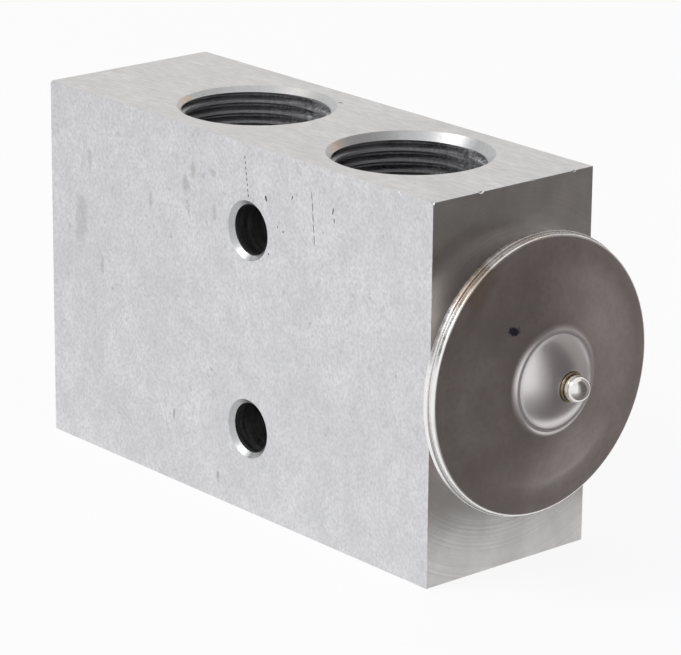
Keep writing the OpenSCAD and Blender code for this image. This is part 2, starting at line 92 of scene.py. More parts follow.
# %% Place the camera
PHOTO_WIDTH = 681
FOCAL_PIXELS = 3637.36
SENSOR_WIDTH = 36.0
NEAREST_SEEN = 0.01
AZIMUTH, ELEVATION, ROLL = radians(49.1714), radians(17.9271), radians(0.5469)
AIM = Vector((0.0, 0.0, 26.0))
SIDEWAYS, UPWARDS, AWAY = 4.2836, -3.1818, 500.8

back = Vector((sin(AZIMUTH) * cos(ELEVATION), -cos(AZIMUTH) * cos(ELEVATION), sin(ELEVATION)))
level_right = Vector((0, 0, 1)).cross(back).normalized()
level_up = back.cross(level_right)
right = cos(ROLL) * level_right + sin(ROLL) * level_up
up = cos(ROLL) * level_up - sin(ROLL) * level_right
place = (AIM + SIDEWAYS * right + UPWARDS * up + AWAY * back) * MM

camera_data = bpy.data.cameras.new("photo_camera")
camera_data.sensor_fit = "HORIZONTAL"
camera_data.sensor_width = SENSOR_WIDTH
camera_data.lens = FOCAL_PIXELS * SENSOR_WIDTH / PHOTO_WIDTH
camera_data.clip_start = NEAREST_SEEN
camera = bpy.data.objects.new("photo_camera", camera_data)
camera.matrix_world = Matrix((right, up, back)).transposed().to_4x4()
camera.matrix_world.translation = place
scene.collection.objects.link(camera)
scene.camera = camera
print("lens", round(camera_data.lens, 1), "mm, camera at", [round(v, 3) for v in place])

# %% [markdown]
# ## Node helpers
# A finish is a small tree of nodes round one Principled shader, and a thread or a spring is grown by
# a tree of Geometry Nodes. Both are wired the same way, so they share the helper that adds a node
# and feeds it in one call. A finish below then reads as a list of what the surface has.

# %% Wiring


class Wiring:
    """Adds nodes to a tree. Every input takes a plain value or another node's output."""

    def add(self, kind, settings=None, **inputs):
        node = self.tree.nodes.new(kind)
        for key, value in (settings or {}).items():
            setattr(node, key, value)
        for key, value in inputs.items():
            self.feed(node.inputs[key.replace("_", " ")], value)
        return node

    def feed(self, socket, value):
        if isinstance(value, bpy.types.NodeSocket):
            self.tree.links.new(value, socket)
        else:
            socket.default_value = value

    def maths(self, operation, a, b=0.0):
        node = self.add("ShaderNodeMath", {"operation": operation})
        self.feed(node.inputs[0], a)
        self.feed(node.inputs[1], b)
        return node.outputs[0]

    def vectors(self, operation, a, b=(0, 0, 0)):
        node = self.add("ShaderNodeVectorMath", {"operation": operation})
        self.feed(node.inputs[0], a)
        self.feed(node.inputs[1], b)
        return node.outputs["Value" if operation == "LENGTH" else "Vector"]


# %% [markdown]
# ### What a finish is made of
# Noise on Object coordinates gives the patterns, and it stays with the piece when that moves. Its
# scale is written for each axis in cycles a metre, so a small number along one axis makes streaks
# that way. Most noise lies between 0.3 and 0.7, which is why those two numbers have names.

# %% Finishes
NOISE_LOW, NOISE_HIGH = 0.3, 0.7
SPOT_CORE, SPOT_EDGE = 0.55, 1.15
# How uneven a spot's edge is: the stretch of its pattern, and the factors which that becomes.
UNEVEN = (0.2, 0.8, 0.6, 1.4)
EVEN = (1, 1, 1)


class Finish(Wiring):
    """One material, with short names for the nodes that its pattern needs."""

    def __init__(self, name):
        self.material = bpy.data.materials.new(name)
        self.material.use_nodes = True
        self.tree = self.material.node_tree
        self.shader = self.tree.nodes["Principled BSDF"]
        self.place = self.add("ShaderNodeTexCoord").outputs["Object"]

    def mapped(self, scale=EVEN, centre=(0, 0, 0), turn=(0, 0, 0)):
        """Object coordinates, centred, then turned, then scaled."""
        moved = self.vectors("SUBTRACT", self.place, centre)
        return self.add("ShaderNodeMapping", Vector=moved, Rotation=turn, Scale=scale).outputs[0]

    def noise(self, place, detail=3.0, roughness=0.55, distortion=0.0):
        node = self.add("ShaderNodeTexNoise", Vector=place, Scale=1.0, Detail=detail,
                        Roughness=roughness, Distortion=distortion)
        return node.outputs["Fac"]

    def pattern(self, scale, turn=(0, 0, 0), **settings):
        """Noise on the piece. One number as the scale is the same along all three axes."""
        per_axis = scale if isinstance(scale, tuple) else (scale, scale, scale)
        return self.noise(self.mapped(per_axis, turn=turn), **settings)

    def from_axis(self):
        """Distance from the valve's axis."""
        centred = self.mapped(centre=(0, 0, AXIS_Z * MM))
        return self.vectors("LENGTH", self.vectors("MULTIPLY", centred, (0, 1, 1)))

    def rings(self, distance, scale, detail):
        """Noise that depends on one distance alone, as lathe lines do."""
        along = self.add("ShaderNodeCombineXYZ", X=self.maths("MULTIPLY", distance, scale))
        return self.noise(along.outputs[0], detail=detail)

    def spread(self, value, low, high, to_low=0.0, to_high=1.0):
        """The value's stretch from low to high becomes to_low to to_high, and stops there."""
        node = self.add("ShaderNodeMapRange", {"interpolation_type": "SMOOTHSTEP"}, Value=value,
                        From_Min=low, From_Max=high, To_Min=to_low, To_Max=to_high)
        return node.outputs[0]

    def ranged(self, pattern, first=0.0, second=1.0):
        """Follows a noise pattern from a first number to a second."""
        return self.spread(pattern, NOISE_LOW, NOISE_HIGH, first, second)

    def blend(self, amount, first, second):
        node = self.add("ShaderNodeMix", {"data_type": "RGBA"})
        colours = [s for s in node.inputs if s.type == "RGBA"]
        self.feed(node.inputs[0], amount)
        self.feed(colours[0], first)
        self.feed(colours[1], second)
        return [s for s in node.outputs if s.type == "RGBA"][0]

    def layers(self, tone, *over):
        """Lays colours over a tone. Each is (pattern, where it starts, where it is full, share, colour)."""
        for pattern, low, high, share, colour in over:
            tone = self.blend(self.spread(pattern, low, high, 0.0, share), tone, colour)
        return tone

    def spot(self, centre, reach, wobble, share, stretch=EVEN, turn=(0, 0, 0)):
        """A soft spot at a place, round unless stretched, with an edge that a pattern makes uneven."""
        squeeze = [1 / s for s in stretch]
        gap = self.vectors("LENGTH", self.mapped(squeeze, centre, turn))
        uneven = self.maths("MULTIPLY", gap, self.spread(wobble, *UNEVEN))
        return self.spread(uneven, reach * SPOT_CORE, reach * SPOT_EDGE, share, 0.0)

    def either(self, amount, first, second):
        """One shader or another, by an amount."""
        node = self.add("ShaderNodeMixShader", Fac=amount)
        self.feed(node.inputs[1], first)
        self.feed(node.inputs[2], second)
        return node.outputs[0]

    def relief(self, height, depth, strength=1.0, under=None):
        node = self.add("ShaderNodeBump", Strength=strength, Distance=depth, Height=height)
        if under is not None:
            self.feed(node.inputs["Normal"], under)
        return node.outputs[0]

    def finish(self, colour, roughness, normal=None, metallic=1.0):
        self.shader.inputs["Metallic"].default_value = metallic
        self.feed(self.shader.inputs["Base Color"], colour)
        self.feed(self.shader.inputs["Roughness"], roughness)
        if normal is not None:
            self.feed(self.shader.inputs["Normal"], normal)
        print(self.material.name, "has", len(self.tree.nodes), "nodes")


def grey(level, warm=0.0):
    """A colour near grey. A warm above 0 leans to yellow, and below 0 to blue."""
    return (level * (1 + warm), level, level * (1 - warm), 1.0)


def one_pattern(name, scale, tones, roughness, bump=None, steps=(NOISE_LOW, NOISE_HIGH), detail=3,
                metallic=1.0):
    """A finish whose single pattern drives its tone, its roughness and its relief."""
    made = Finish(name)
    pattern = made.pattern(scale, detail=detail)
    normal = made.relief(pattern, *bump) if bump else None
    made.finish(made.blend(made.spread(pattern, *steps), *tones), made.ranged(pattern, *roughness), normal,
                metallic)
    return made


# %% [markdown]
# ## Floor and light
# The photograph is cut out on white. Metal shows what stands round it, so the light here is a white
# tent: a white surround and a white floor, with one soft lamp from the upper left. The floor glows
# white only for rays that look at it as a picture, and it still takes the object's shadow. It is
# clear from below, so that the underside can be looked at.

# %% Rays that see the surround as a picture
WHITE = (1.0, 1.0, 1.0, 1.0)


def seen_directly(tree):
    """1 for camera, glossy and transmission rays, else 0."""
    path = tree.nodes.new("ShaderNodeLightPath")
    total = path.outputs["Is Camera Ray"]
    for name in ("Is Glossy Ray", "Is Transmission Ray"):
        node = tree.nodes.new("ShaderNodeMath")
        node.operation = "MAXIMUM"
        tree.links.new(total, node.inputs[0])
        tree.links.new(path.outputs[name], node.inputs[1])
        total = node.outputs[0]
    return total


# %% Floor
FLOOR_SIZE, FLOOR_LEVEL = 6.0, -0.00005
FLOOR_GLOW, FLOOR_ROUGH, FLOOR_GRAIN = 0.9, 0.9, 40

floor_finish = Finish("floor_white")
floor_tone = floor_finish.blend(floor_finish.pattern(FLOOR_GRAIN), grey(0.86), grey(0.9))
floor_finish.finish(floor_tone, FLOOR_ROUGH, metallic=0.0)
glow = floor_finish.add("ShaderNodeEmission", Color=WHITE, Strength=1.0)
glow_share = floor_finish.maths("MULTIPLY", seen_directly(floor_finish.tree), FLOOR_GLOW)
from_above = floor_finish.either(glow_share, floor_finish.shader.outputs[0], glow.outputs[0])
clear = floor_finish.add("ShaderNodeBsdfTransparent")
from_below = floor_finish.add("ShaderNodeNewGeometry").outputs["Backfacing"]
surface = floor_finish.either(from_below, from_above, clear.outputs[0])
floor_finish.feed(floor_finish.tree.nodes["Material Output"].inputs["Surface"], surface)


def sheet(name, points, faces, finish):
    """A flat-sided object, in metres."""
    mesh = bpy.data.meshes.new(name)
    mesh.from_pydata(points, [], faces)
    mesh.materials.append(finish.material)
    ob = bpy.data.objects.new(name, mesh)
    scene.collection.objects.link(ob)
    return ob


half = FLOOR_SIZE / 2
floor_corners = [(x * half, y * half, FLOOR_LEVEL) for x, y in ((-1, -1), (1, -1), (1, 1), (-1, 1))]
floor = sheet("floor", floor_corners, [(0, 1, 2, 3)], floor_finish)
floor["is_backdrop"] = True

# %% Surround and lamp
AMBIENT = 0.55
LAMP_SIZE, LAMP_POWER = 0.5, 5.0
LAMP_PLACE = Vector((-0.35, -0.75, 0.8))

scene.view_settings.view_transform = "Standard"
world = bpy.data.worlds.new("white_tent")
scene.world = world
world.use_nodes = True
background = world.node_tree.nodes["Background"]
background.inputs["Color"].default_value = WHITE
strength = world.node_tree.nodes.new("ShaderNodeMapRange")
world.node_tree.links.new(seen_directly(world.node_tree), strength.inputs["Value"])
strength.inputs["To Min"].default_value = AMBIENT
strength.inputs["To Max"].default_value = 1.0
world.node_tree.links.new(strength.outputs[0], background.inputs["Strength"])

lamp_data = bpy.data.lights.new("soft_lamp", "AREA")
lamp_data.size = LAMP_SIZE
lamp_data.energy = LAMP_POWER
lamp = bpy.data.objects.new("soft_lamp", lamp_data)
lamp.location = LAMP_PLACE
lamp.rotation_euler = (AIM * MM - LAMP_PLACE).to_track_quat("-Z", "Y").to_euler()
scene.collection.objects.link(lamp)
print("one lamp of", LAMP_POWER, "W, ambient light", AMBIENT)

# %% [markdown]
# ### Cards for the reflections
# The end face and the disc are dark in the photograph because they look at something dark on their
# right. So a dark card lies on the floor there and turns up into a wall. Its tone changes across it,
# in a frame that is turned to where the disc's reflection runs. A second card, upper left, darkens
# the threads inside the ports. Only reflections see the cards: they throw no shadow, they take no
# part in the soft light, and the camera looks through them.

# %% Tone of the dark card
CARD_DARK, CARD_LIGHT = (0.20, 0.185, 0.18, 1.0), (0.85, 0.84, 0.83, 1.0)
CARD_FAR = (0.44, 0.415, 0.405, 1.0)
CARD_ROUGH, CARD_GRAIN, CARD_WOBBLE = 0.9, 30, 0.01
FADE_FROM, FADE_TO = -0.055, 0.015
FAR_FROM, FAR_TO = -0.008, 0.022
HEAD_PLACE, MIRROR_LINE = (0.046, 0, 0), radians(41)
NEAR_LIMIT, FAR_LIMIT, NEAR_GAIN = 0.060, 0.105, 0.25

card_finish = Finish("dark_card")
card_y = card_finish.add("ShaderNodeSeparateXYZ", Vector=card_finish.place).outputs["Y"]
wobble = card_finish.maths("MULTIPLY", card_finish.pattern(CARD_GRAIN), CARD_WOBBLE)
fade = card_finish.spread(card_finish.maths("ADD", card_y, wobble), FADE_FROM, FADE_TO)
from_head = card_finish.mapped(centre=HEAD_PLACE, turn=(0, 0, -MIRROR_LINE))
on_card = card_finish.add("ShaderNodeSeparateXYZ", Vector=from_head)
reach = card_finish.maths("MINIMUM", on_card.outputs["X"], FAR_LIMIT)
lean = card_finish.maths("MULTIPLY", card_finish.maths("SUBTRACT", reach, NEAR_LIMIT), NEAR_GAIN)
far_side = card_finish.spread(card_finish.maths("SUBTRACT", on_card.outputs["Y"], lean), FAR_FROM, FAR_TO)
card_tone = card_finish.blend(far_side, card_finish.blend(fade, CARD_LIGHT, CARD_DARK), CARD_FAR)
card_finish.finish(card_tone, CARD_ROUGH, metallic=0.0)

shade_finish = Finish("shade_card")
shade_tone = shade_finish.blend(shade_finish.pattern(CARD_GRAIN), grey(0.05), grey(0.08))
shade_finish.finish(shade_tone, CARD_ROUGH, metallic=0.0)

# %% Hang both cards
CARD_LIFT, CARD_HEIGHT = 0.0005, 0.30
CARD_FOOT = ((0.054, -0.060), (0.150, -0.060), (0.130, 0.130), (0.020, 0.230), (0.020, 0.120), (0.054, 0.030))
WALL_CORNERS = (1, 2, 3)
SHADE_PLACE, SHADE_WIDTH, SHADE_LOW, SHADE_HIGH = Vector((-0.300, -0.245, 0.0)), 0.34, 0.075, 0.40


def hang_card(name, points, faces, finish):
    """A card that only reflections see."""
    card = sheet(name, points, faces, finish)
    card.visible_camera = False
    card.visible_diffuse = False
    card.visible_shadow = False
    card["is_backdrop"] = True
    print(name, "hangs from", [round(v, 3) for v in points[0]])


card_points = [(x, y, CARD_LIFT) for x, y in CARD_FOOT]
card_points += [(*CARD_FOOT[k], CARD_HEIGHT) for k in WALL_CORNERS]
hang_card("dark_card", card_points, [(0, 1, 2, 3, 4, 5), (1, 6, 7, 2), (2, 7, 8, 3)], card_finish)
aside = Vector((-SHADE_PLACE.y, SHADE_PLACE.x, 0)).normalized() * SHADE_WIDTH / 2
shade_points = [SHADE_PLACE + aside * hand + Vector((0, 0, level)) for level, hand in (
    (SHADE_LOW, -1), (SHADE_LOW, 1), (SHADE_HIGH, 1), (SHADE_HIGH, -1))]
hang_card("shade_card", shade_points, [(0, 1, 2, 3)], shade_finish)

# %% [markdown]
# ## Turned shapes
# Most of this valve is made on a lathe, so one helper spins an outline round an axis. An outline is
# a list of (radius, place along the axis) in millimetres. Corners can carry a small radius, because
# a real edge catches a thin line of light and a perfectly sharp one never does.

# %% Outlines
AROUND, FINE, SMALL = 128, 192, 96
SHARP_ANGLE = radians(21)
ALONG_X = Matrix.Rotation(radians(90), 4, "Y")
ALONG_Y = Matrix.Rotation(radians(-90), 4, "X")
UPSIDE_DOWN = Matrix.Rotation(radians(180), 4, "X")
ON_AXIS = Matrix.Translation((0, 0, AXIS_Z)) @ ALONG_X


def rounded(corners, steps=5):
    """Closed outline: corners are (radius, place, fillet), and each fillet becomes an arc."""
    points = []
    for i, (r, x, fillet) in enumerate(corners):
        here = Vector((r, x))
        if fillet == 0:
            points.append(tuple(here))
            continue
        before = Vector(corners[i - 1][:2]) - here
        after = Vector(corners[(i + 1) % len(corners)][:2]) - here
        before.normalize()
        after.normalize()
        half_angle = before.angle(after) / 2
        centre = here + (before + after).normalized() * fillet / sin(half_angle)
        start = here + before * fillet / tan(half_angle) - centre
        end = here + after * fillet / tan(half_angle) - centre
        from_angle, to_angle = atan2(start.y, start.x), atan2(end.y, end.x)
        swing = (to_angle - from_angle + pi) % (2 * pi) - pi
        for k in range(steps + 1):
            angle = from_angle + swing * k / steps
            points.append((centre.x + fillet * cos(angle), centre.y + fillet * sin(angle)))
    return points


def arc(centre_place, radius, from_r, to_r, steps):
    """Points on a circle centred on the axis, on its far side, between two radii of the outline."""
    found = []
    for k in range(steps + 1):
        r = from_r + (to_r - from_r) * k / steps
        found.append((r, centre_place + sqrt(radius * radius - r * r)))
    return found


# %% The lathe


def smooth(mesh):
    mesh.shade_smooth()
    mesh.set_sharp_from_angle(angle=SHARP_ANGLE)


def as_object(name, bm, place=Matrix()):
    """The mesh being built, in millimetres, becomes an object in metres, with faces outwards."""
    bmesh.ops.recalc_face_normals(bm, faces=bm.faces)
    bm.transform(Matrix.Scale(MM, 4) @ place)
    mesh = bpy.data.meshes.new(name)
    bm.to_mesh(mesh)
    bm.free()
    smooth(mesh)
    ob = bpy.data.objects.new(name, mesh)
    scene.collection.objects.link(ob)
    return ob


def turned(name, outline, place=ON_AXIS, around=AROUND):
    """A closed solid spun round Z, then placed. A radius of 0 makes a pole."""
    bm = bmesh.new()
    turns = [2 * pi * i / around for i in range(around)]
    rings = []
    for r, height in outline:
        angles = turns if r > 0 else [0.0]
        rings.append([bm.verts.new((r * cos(a), r * sin(a), height)) for a in angles])
    pairs = list(zip(rings, rings[1:]))
    if outline[0][0] > 0 and outline[-1][0] > 0:
        pairs.append((rings[-1], rings[0]))
    for low, high in pairs:
        for i in range(around):
            j = (i + 1) % around
            corners = (low[i % len(low)], low[j % len(low)], high[j % len(high)], high[i % len(high)])
            bm.faces.new(list(dict.fromkeys(corners)))
    return as_object(name, bm, place)


def facts(ob):
    """Prints the size of a mesh and whether it is closed."""
    bm = bmesh.new()
    bm.from_mesh(ob.data)
    open_edges = sum(not e.is_manifold for e in bm.edges)
    triangles = sum(len(f.verts) - 2 for f in bm.faces)
    print(f"{ob.name}: {triangles} triangles, {open_edges} open edges, {bm.calc_volume() / MM ** 3:.1f} mm3")
    bm.free()


# %% [markdown]
# ## Screw threads by Geometry Nodes
# The ports, the power head and the adjusting screw all have threads. A thread is one section that
# follows a helix, which is what Curve to Mesh does: a Spiral gives the path and a Quadrilateral the
# groove's section. The result is a long closed worm. Cut from a bore it leaves an inner thread, and
# joined to a shaft it makes an outer one. One tree serves all of them through its named inputs.

# %% A tree that grows a mesh


class Growth(Wiring):
    """A Geometry Nodes tree with named sizes, whose shape ends up real and painted."""

    def __init__(self, name, sizes, on_points=False):
        self.tree = bpy.data.node_groups.new(name, "GeometryNodeTree")
        if on_points:
            self.port("Geometry", "INPUT", "NodeSocketGeometry")
        for size in sizes:
            self.port(size, "INPUT", "NodeSocketFloat").default_value = 1.0
        self.port("Geometry", "OUTPUT", "NodeSocketGeometry")
        self.given = self.tree.nodes.new("NodeGroupInput").outputs

    def port(self, name, side, kind):
        return self.tree.interface.new_socket(name, in_out=side, socket_type=kind)

    def sweep(self, path, section):
        """A section carried along a path, with closed ends."""
        upright = self.add("GeometryNodeSetCurveNormal", {"mode": "Z_UP"}, Curve=path)
        swept = self.add("GeometryNodeCurveToMesh", Curve=upright.outputs[0], Profile_Curve=section,
                         Fill_Caps=True)
        return swept.outputs[0]

    def end(self, shape, material):
        real = self.add("GeometryNodeRealizeInstances", Geometry=shape).outputs[0]
        paint = self.add("GeometryNodeSetMaterial", Geometry=real, Material=material).outputs[0]
        self.feed(self.tree.nodes.new("NodeGroupOutput").inputs[0], paint)
        print(self.tree.name, "has", len(self.tree.nodes), "nodes")
        return self.tree


def grown(name, tree, values, start=None):
    """Runs a Geometry Nodes tree on an object and keeps the plain mesh that it makes."""
    base = start or bpy.data.objects.new(name, bpy.data.meshes.new(name))
    if base.name not in scene.collection.objects:
        scene.collection.objects.link(base)
    modifier = base.modifiers.new("grow", "NODES")
    modifier.node_group = tree
    for item in tree.interface.items_tree:
        if item.item_type == "SOCKET" and item.in_out == "INPUT" and item.name in values:
            modifier[item.identifier] = values[item.name]
    settle(base)
    return base


def settle(ob):
    """Applies an object's modifiers, so that its mesh is plain."""
    bpy.context.view_layer.update()
    mesh = bpy.data.meshes.new_from_object(ob.evaluated_get(bpy.context.evaluated_depsgraph_get()))
    ob.modifiers.clear()
    old = ob.data
    ob.data = mesh
    mesh.name = ob.name
    bpy.data.meshes.remove(old)


# %% The thread's tree
THREAD_ANGLE = radians(30)
WORM_OVERLAP = 0.08
GROOVE_SHARE = 3 / 4


def thread_tree(material):
    grow = Growth("screw_thread", (
        "Radius", "Pitch", "Turns", "Inner Edge", "Inner Width", "Outer Edge", "Outer Width"))
    given = grow.given

    def corner(edge, width, hand):
        across = grow.maths("MULTIPLY", given[width], hand / 2)
        return grow.add("ShaderNodeCombineXYZ", X=given[edge], Y=across).outputs[0]

    path = grow.add("GeometryNodeCurveSpiral", Resolution=AROUND, Reverse=True, Rotations=given["Turns"],
                    Start_Radius=given["Radius"], End_Radius=given["Radius"],
                    Height=grow.maths("MULTIPLY", given["Turns"], given["Pitch"]))
    section = grow.add("GeometryNodeCurvePrimitiveQuadrilateral", {"mode": "POINTS"},
                       Point_1=corner("Inner Edge", "Inner Width", -1),
                       Point_2=corner("Outer Edge", "Outer Width", -1),
                       Point_3=corner("Outer Edge", "Outer Width", 1),
                       Point_4=corner("Inner Edge", "Inner Width", 1))
    return grow.end(grow.sweep(path.outputs[0], section.outputs[0]), material)


def remade(name, ob, move, place):
    """A grown mesh in millimetres, moved along its axis and then placed as a piece."""
    bm = bmesh.new()
    bm.from_mesh(ob.data)
    bpy.data.objects.remove(ob)
    bm.transform(move)
    return as_object(name, bm, place)


def worm(name, tree, radius, pitch, first, last, depth, place, play=0.0, end_angle=0.0):
    """A thread worm in millimetres. Depth goes outwards if above 0, and inwards if below."""
    opening = pitch * GROOVE_SHARE - play
    lean = 2 * tan(THREAD_ANGLE)
    turns = (last - first) / pitch
    step = 2 * pi / AROUND
    turn_back = round((end_angle - 2 * pi * turns) / step) * step
    overlap = WORM_OVERLAP if depth > 0 else -WORM_OVERLAP
    ob = grown(name, tree, {
        "Radius": radius, "Pitch": pitch, "Turns": turns,
        "Inner Edge": -overlap, "Inner Width": opening + WORM_OVERLAP * lean,
        "Outer Edge": depth, "Outer Width": opening - abs(depth) * lean,
    })
    return remade(name, ob, Matrix.Translation((0, 0, first)) @ Matrix.Rotation(turn_back, 4, "Z"), place)


# %% Cutting and joining


def cut_away(body, cutters, operation="DIFFERENCE", solver="MANIFOLD"):
    """Applies one boolean for each cutter, in turn, and deletes the cutters."""
    for cutter in cutters:
        step = body.modifiers.new(cutter.name, "BOOLEAN")
        step.operation = operation
        step.solver = solver
        step.object = cutter
    settle(body)
    for cutter in cutters:
        bpy.data.objects.remove(cutter)
    smooth(body.data)
    return body


# %% [markdown]
# ## Sizes of the block
# The bar's size comes from the frame. A metric thread is 0.5413 of its pitch deep, so the tapped
# bore is that much smaller in radius than the thread. The four ports are listed once, and the
# cutters, the threads and the finishes below all read that list.

# %% Sizes in millimetres
BODY = [v / MM for v in (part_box("valve_block")[1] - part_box("valve_block")[0])]
END_X, HALF_Y, TOP_Z = BODY[0] / 2, BODY[1] / 2, BODY[2]
SIDE_Y = -HALF_Y
EDGE_BREAK = 0.07
DEPTH_SHARE = 0.5413
PORT_PITCH, PORT_DEPTH = 1.5, 10.0
PORT_R, INLET_R = 22 / 2 - DEPTH_SHARE * PORT_PITCH, 18 / 2 - DEPTH_SHARE * PORT_PITCH
LIQUID_X, SUCTION_X, INLET_X = -11.4, 20.4, -23.5
HOLE_X, HOLE_LOW, HOLE_HIGH, HOLE_R, HOLE_FLARE = 3.7, 12.0, 40.0, 3.5, 0.65

Port = namedtuple("Port", "name x level thread_r thread_top mouth_w mouth_h drill_r drill_l pointed")
PORTS = (
    Port("outlet", LIQUID_X, TOP_Z, PORT_R, -0.55, 0.9, 0.8, 4.0, 26.5, True),
    Port("suction_top", SUCTION_X, TOP_Z, PORT_R, -0.85, 1.05, 1.2, 7.5, 26.5, False),
    Port("suction_foot", SUCTION_X, 0.0, PORT_R, -0.85, 1.05, 1.2, 7.5, 26.5, False),
    Port("inlet", INLET_X, 0.0, INLET_R, -0.7, 1.1, 1.0, 4.0, 25.5, True),
)
print("bar", [round(v, 2) for v in BODY], "mm, thread radius", round(PORT_R, 3), "mm,", len(PORTS), "ports")

# %% [markdown]
# ## The block's finishes
# The sides are bar stock, tumbled after cutting, so they are mottled in short upright streaks, with
# a few soft stains. The port faces are milled in long fine lines, and the ends are faced on a lathe
# in rings round the valve axis. The bores are painted darker with depth, as shade. Their grooves and
# one side of each upper port are painted dark as shade, and the other side has a painted highlight.

# %% Tumbled sides
SIDE_LIGHT, SIDE_DARK, SIDE_CLOUD = (0.82, 0.817, 0.835, 1), (0.70, 0.70, 0.722, 1), (0.64, 0.64, 0.665, 1)
SIDE_GRAIN, SIDE_FLECK, SIDE_SPECK = (0.55, 0.552, 0.57, 1), (0.52, 0.52, 0.525, 1), (0.34, 0.345, 0.32, 1)
GREEN_STAIN, GREY_STAIN, STAIN_SHARE = (0.34, 0.35, 0.29, 1), (0.42, 0.42, 0.43, 1), 0.36
UPRIGHT, TALL = (1, 1, 2.6), (1, 1, 3.4)
# Each stain is its place on the near side, reach, colour, stretch and lean.
STAINS = [
    ((-8.0, 45.9), 0.55, GREEN_STAIN, UPRIGHT, 0.6), ((-5.7, 45.5), 0.5, GREEN_STAIN, EVEN, 0.0),
    ((-3.75, 46.35), 0.6, GREEN_STAIN, (1.5, 1, 1), 0.4), ((-9.6, 43.4), 0.8, GREEN_STAIN, (1, 1, 1.6), 0.5),
    ((-31.2, 42.6), 0.55, GREY_STAIN, UPRIGHT, 0.35), ((-17.4, 39.7), 0.4, GREY_STAIN, TALL, 0.3),
    ((-3.3, 40.9), 0.5, GREY_STAIN, UPRIGHT, -0.4), ((-38.6, 44.9), 0.4, GREY_STAIN, EVEN, 0.0),
    ((-28.6, 27.5), 0.45, GREY_STAIN, TALL, 0.2), ((-33.6, 33.0), 1.6, GREY_STAIN, (1, 1, 2.2), 0.3),
]
side = Finish("tumbled_side")
grain = side.pattern((2300, 2300, 1900), (0, 0.5, 0), detail=4, roughness=0.65)
flecks = side.pattern((900, 900, 640), (0, 0.7, 0), distortion=0.8)
patches = side.pattern((300, 300, 230), (0, 0.5, 0), detail=7, roughness=0.68, distortion=0.4)
clouds = side.pattern((75, 75, 60), (0, 0.4, 0), detail=4, distortion=0.6)
specks = side.pattern((600, 600, 420))
tone = side.layers(
    side.blend(side.ranged(patches), SIDE_DARK, SIDE_LIGHT),
    (clouds, 0.40, 0.68, 0.35, SIDE_CLOUD), (grain, 0.3, 0.72, 0.6, SIDE_GRAIN),
    (flecks, 0.58, 0.78, 0.55, SIDE_FLECK), (specks, 0.70, 0.78, 0.6, SIDE_SPECK))
for (x, z), size, colour, stretch, tilt in STAINS:
    stain = side.spot((x * MM, SIDE_Y * MM, z * MM), size * MM, patches, STAIN_SHARE, stretch, (0, tilt, 0))
    tone = side.blend(stain, tone, colour)
side.finish(tone, side.ranged(grain, 0.40, 0.55),
            side.relief(grain, 30 * MICRON, 0.4, side.relief(flecks, 50 * MICRON, 0.25)))

# %% Milled port faces
port_face = Finish("milled_face")
lines = port_face.pattern((350, 2800, 350))
sweeps = port_face.pattern((110, 260, 110), (0, 0, 0.12), detail=6, roughness=0.6, distortion=0.5)
flakes = port_face.pattern((700, 1300, 700), (0, 0, -0.2), detail=4, roughness=0.6)
smudges = port_face.pattern((420, 700, 420))
tone = port_face.layers(
    port_face.blend(port_face.ranged(sweeps), grey(0.555, 0.012), grey(0.625, 0.025)),
    (lines, 0.35, 0.75, 0.45, grey(0.50, 0.02)), (flakes, 0.42, 0.74, 0.6, grey(0.49, 0.015)),
    (smudges, 0.66, 0.80, 0.45, grey(0.36, 0.03)))
port_face.finish(tone, port_face.ranged(lines, 0.34, 0.48), port_face.relief(lines, 30 * MICRON, 0.3))

# %% Faced ends
end_face = Finish("faced_end")
rings = end_face.rings(end_face.from_axis(), 3200, detail=1)
cloud = end_face.pattern((160, 160, 130), detail=6, roughness=0.62, distortion=0.4)
tone = end_face.layers(
    end_face.blend(end_face.ranged(cloud), grey(0.50, 0.02), grey(0.61, 0.025)),
    (rings, 0.35, 0.75, 0.35, grey(0.47, 0.015)))
end_face.finish(tone, end_face.ranged(rings, 0.30, 0.42), end_face.relief(rings, 40 * MICRON, 0.35))

# %% Bores
# This dark colour is oil in the chatter lines, and painted shade on one side of each upper port.
OIL_AND_SHADE = (0.21, 0.20, 0.215, 1)
SHADED_WALL_REACH, SHADED_WALLS = 0.0125, ((-0.0195, 0.004, 0.046), (0.0125, 0.004, 0.046))
# A painted highlight: a light, streaky patch on the other side of each upper port.
PAINTED_SHEEN, SHEEN_REACH = grey(0.97, -0.01), 0.0095
SHEEN_WALLS = ((-0.0082, 0.0098, 0.0480), (0.0236, 0.0098, 0.0480))
# Painted shade: the bores are painted darker with depth, between these two depths.
DEPTH_SHADE_FROM, DEPTH_SHADE_TO, DEPTH_SHADE_WOBBLE = 0.002, 0.009, 0.003


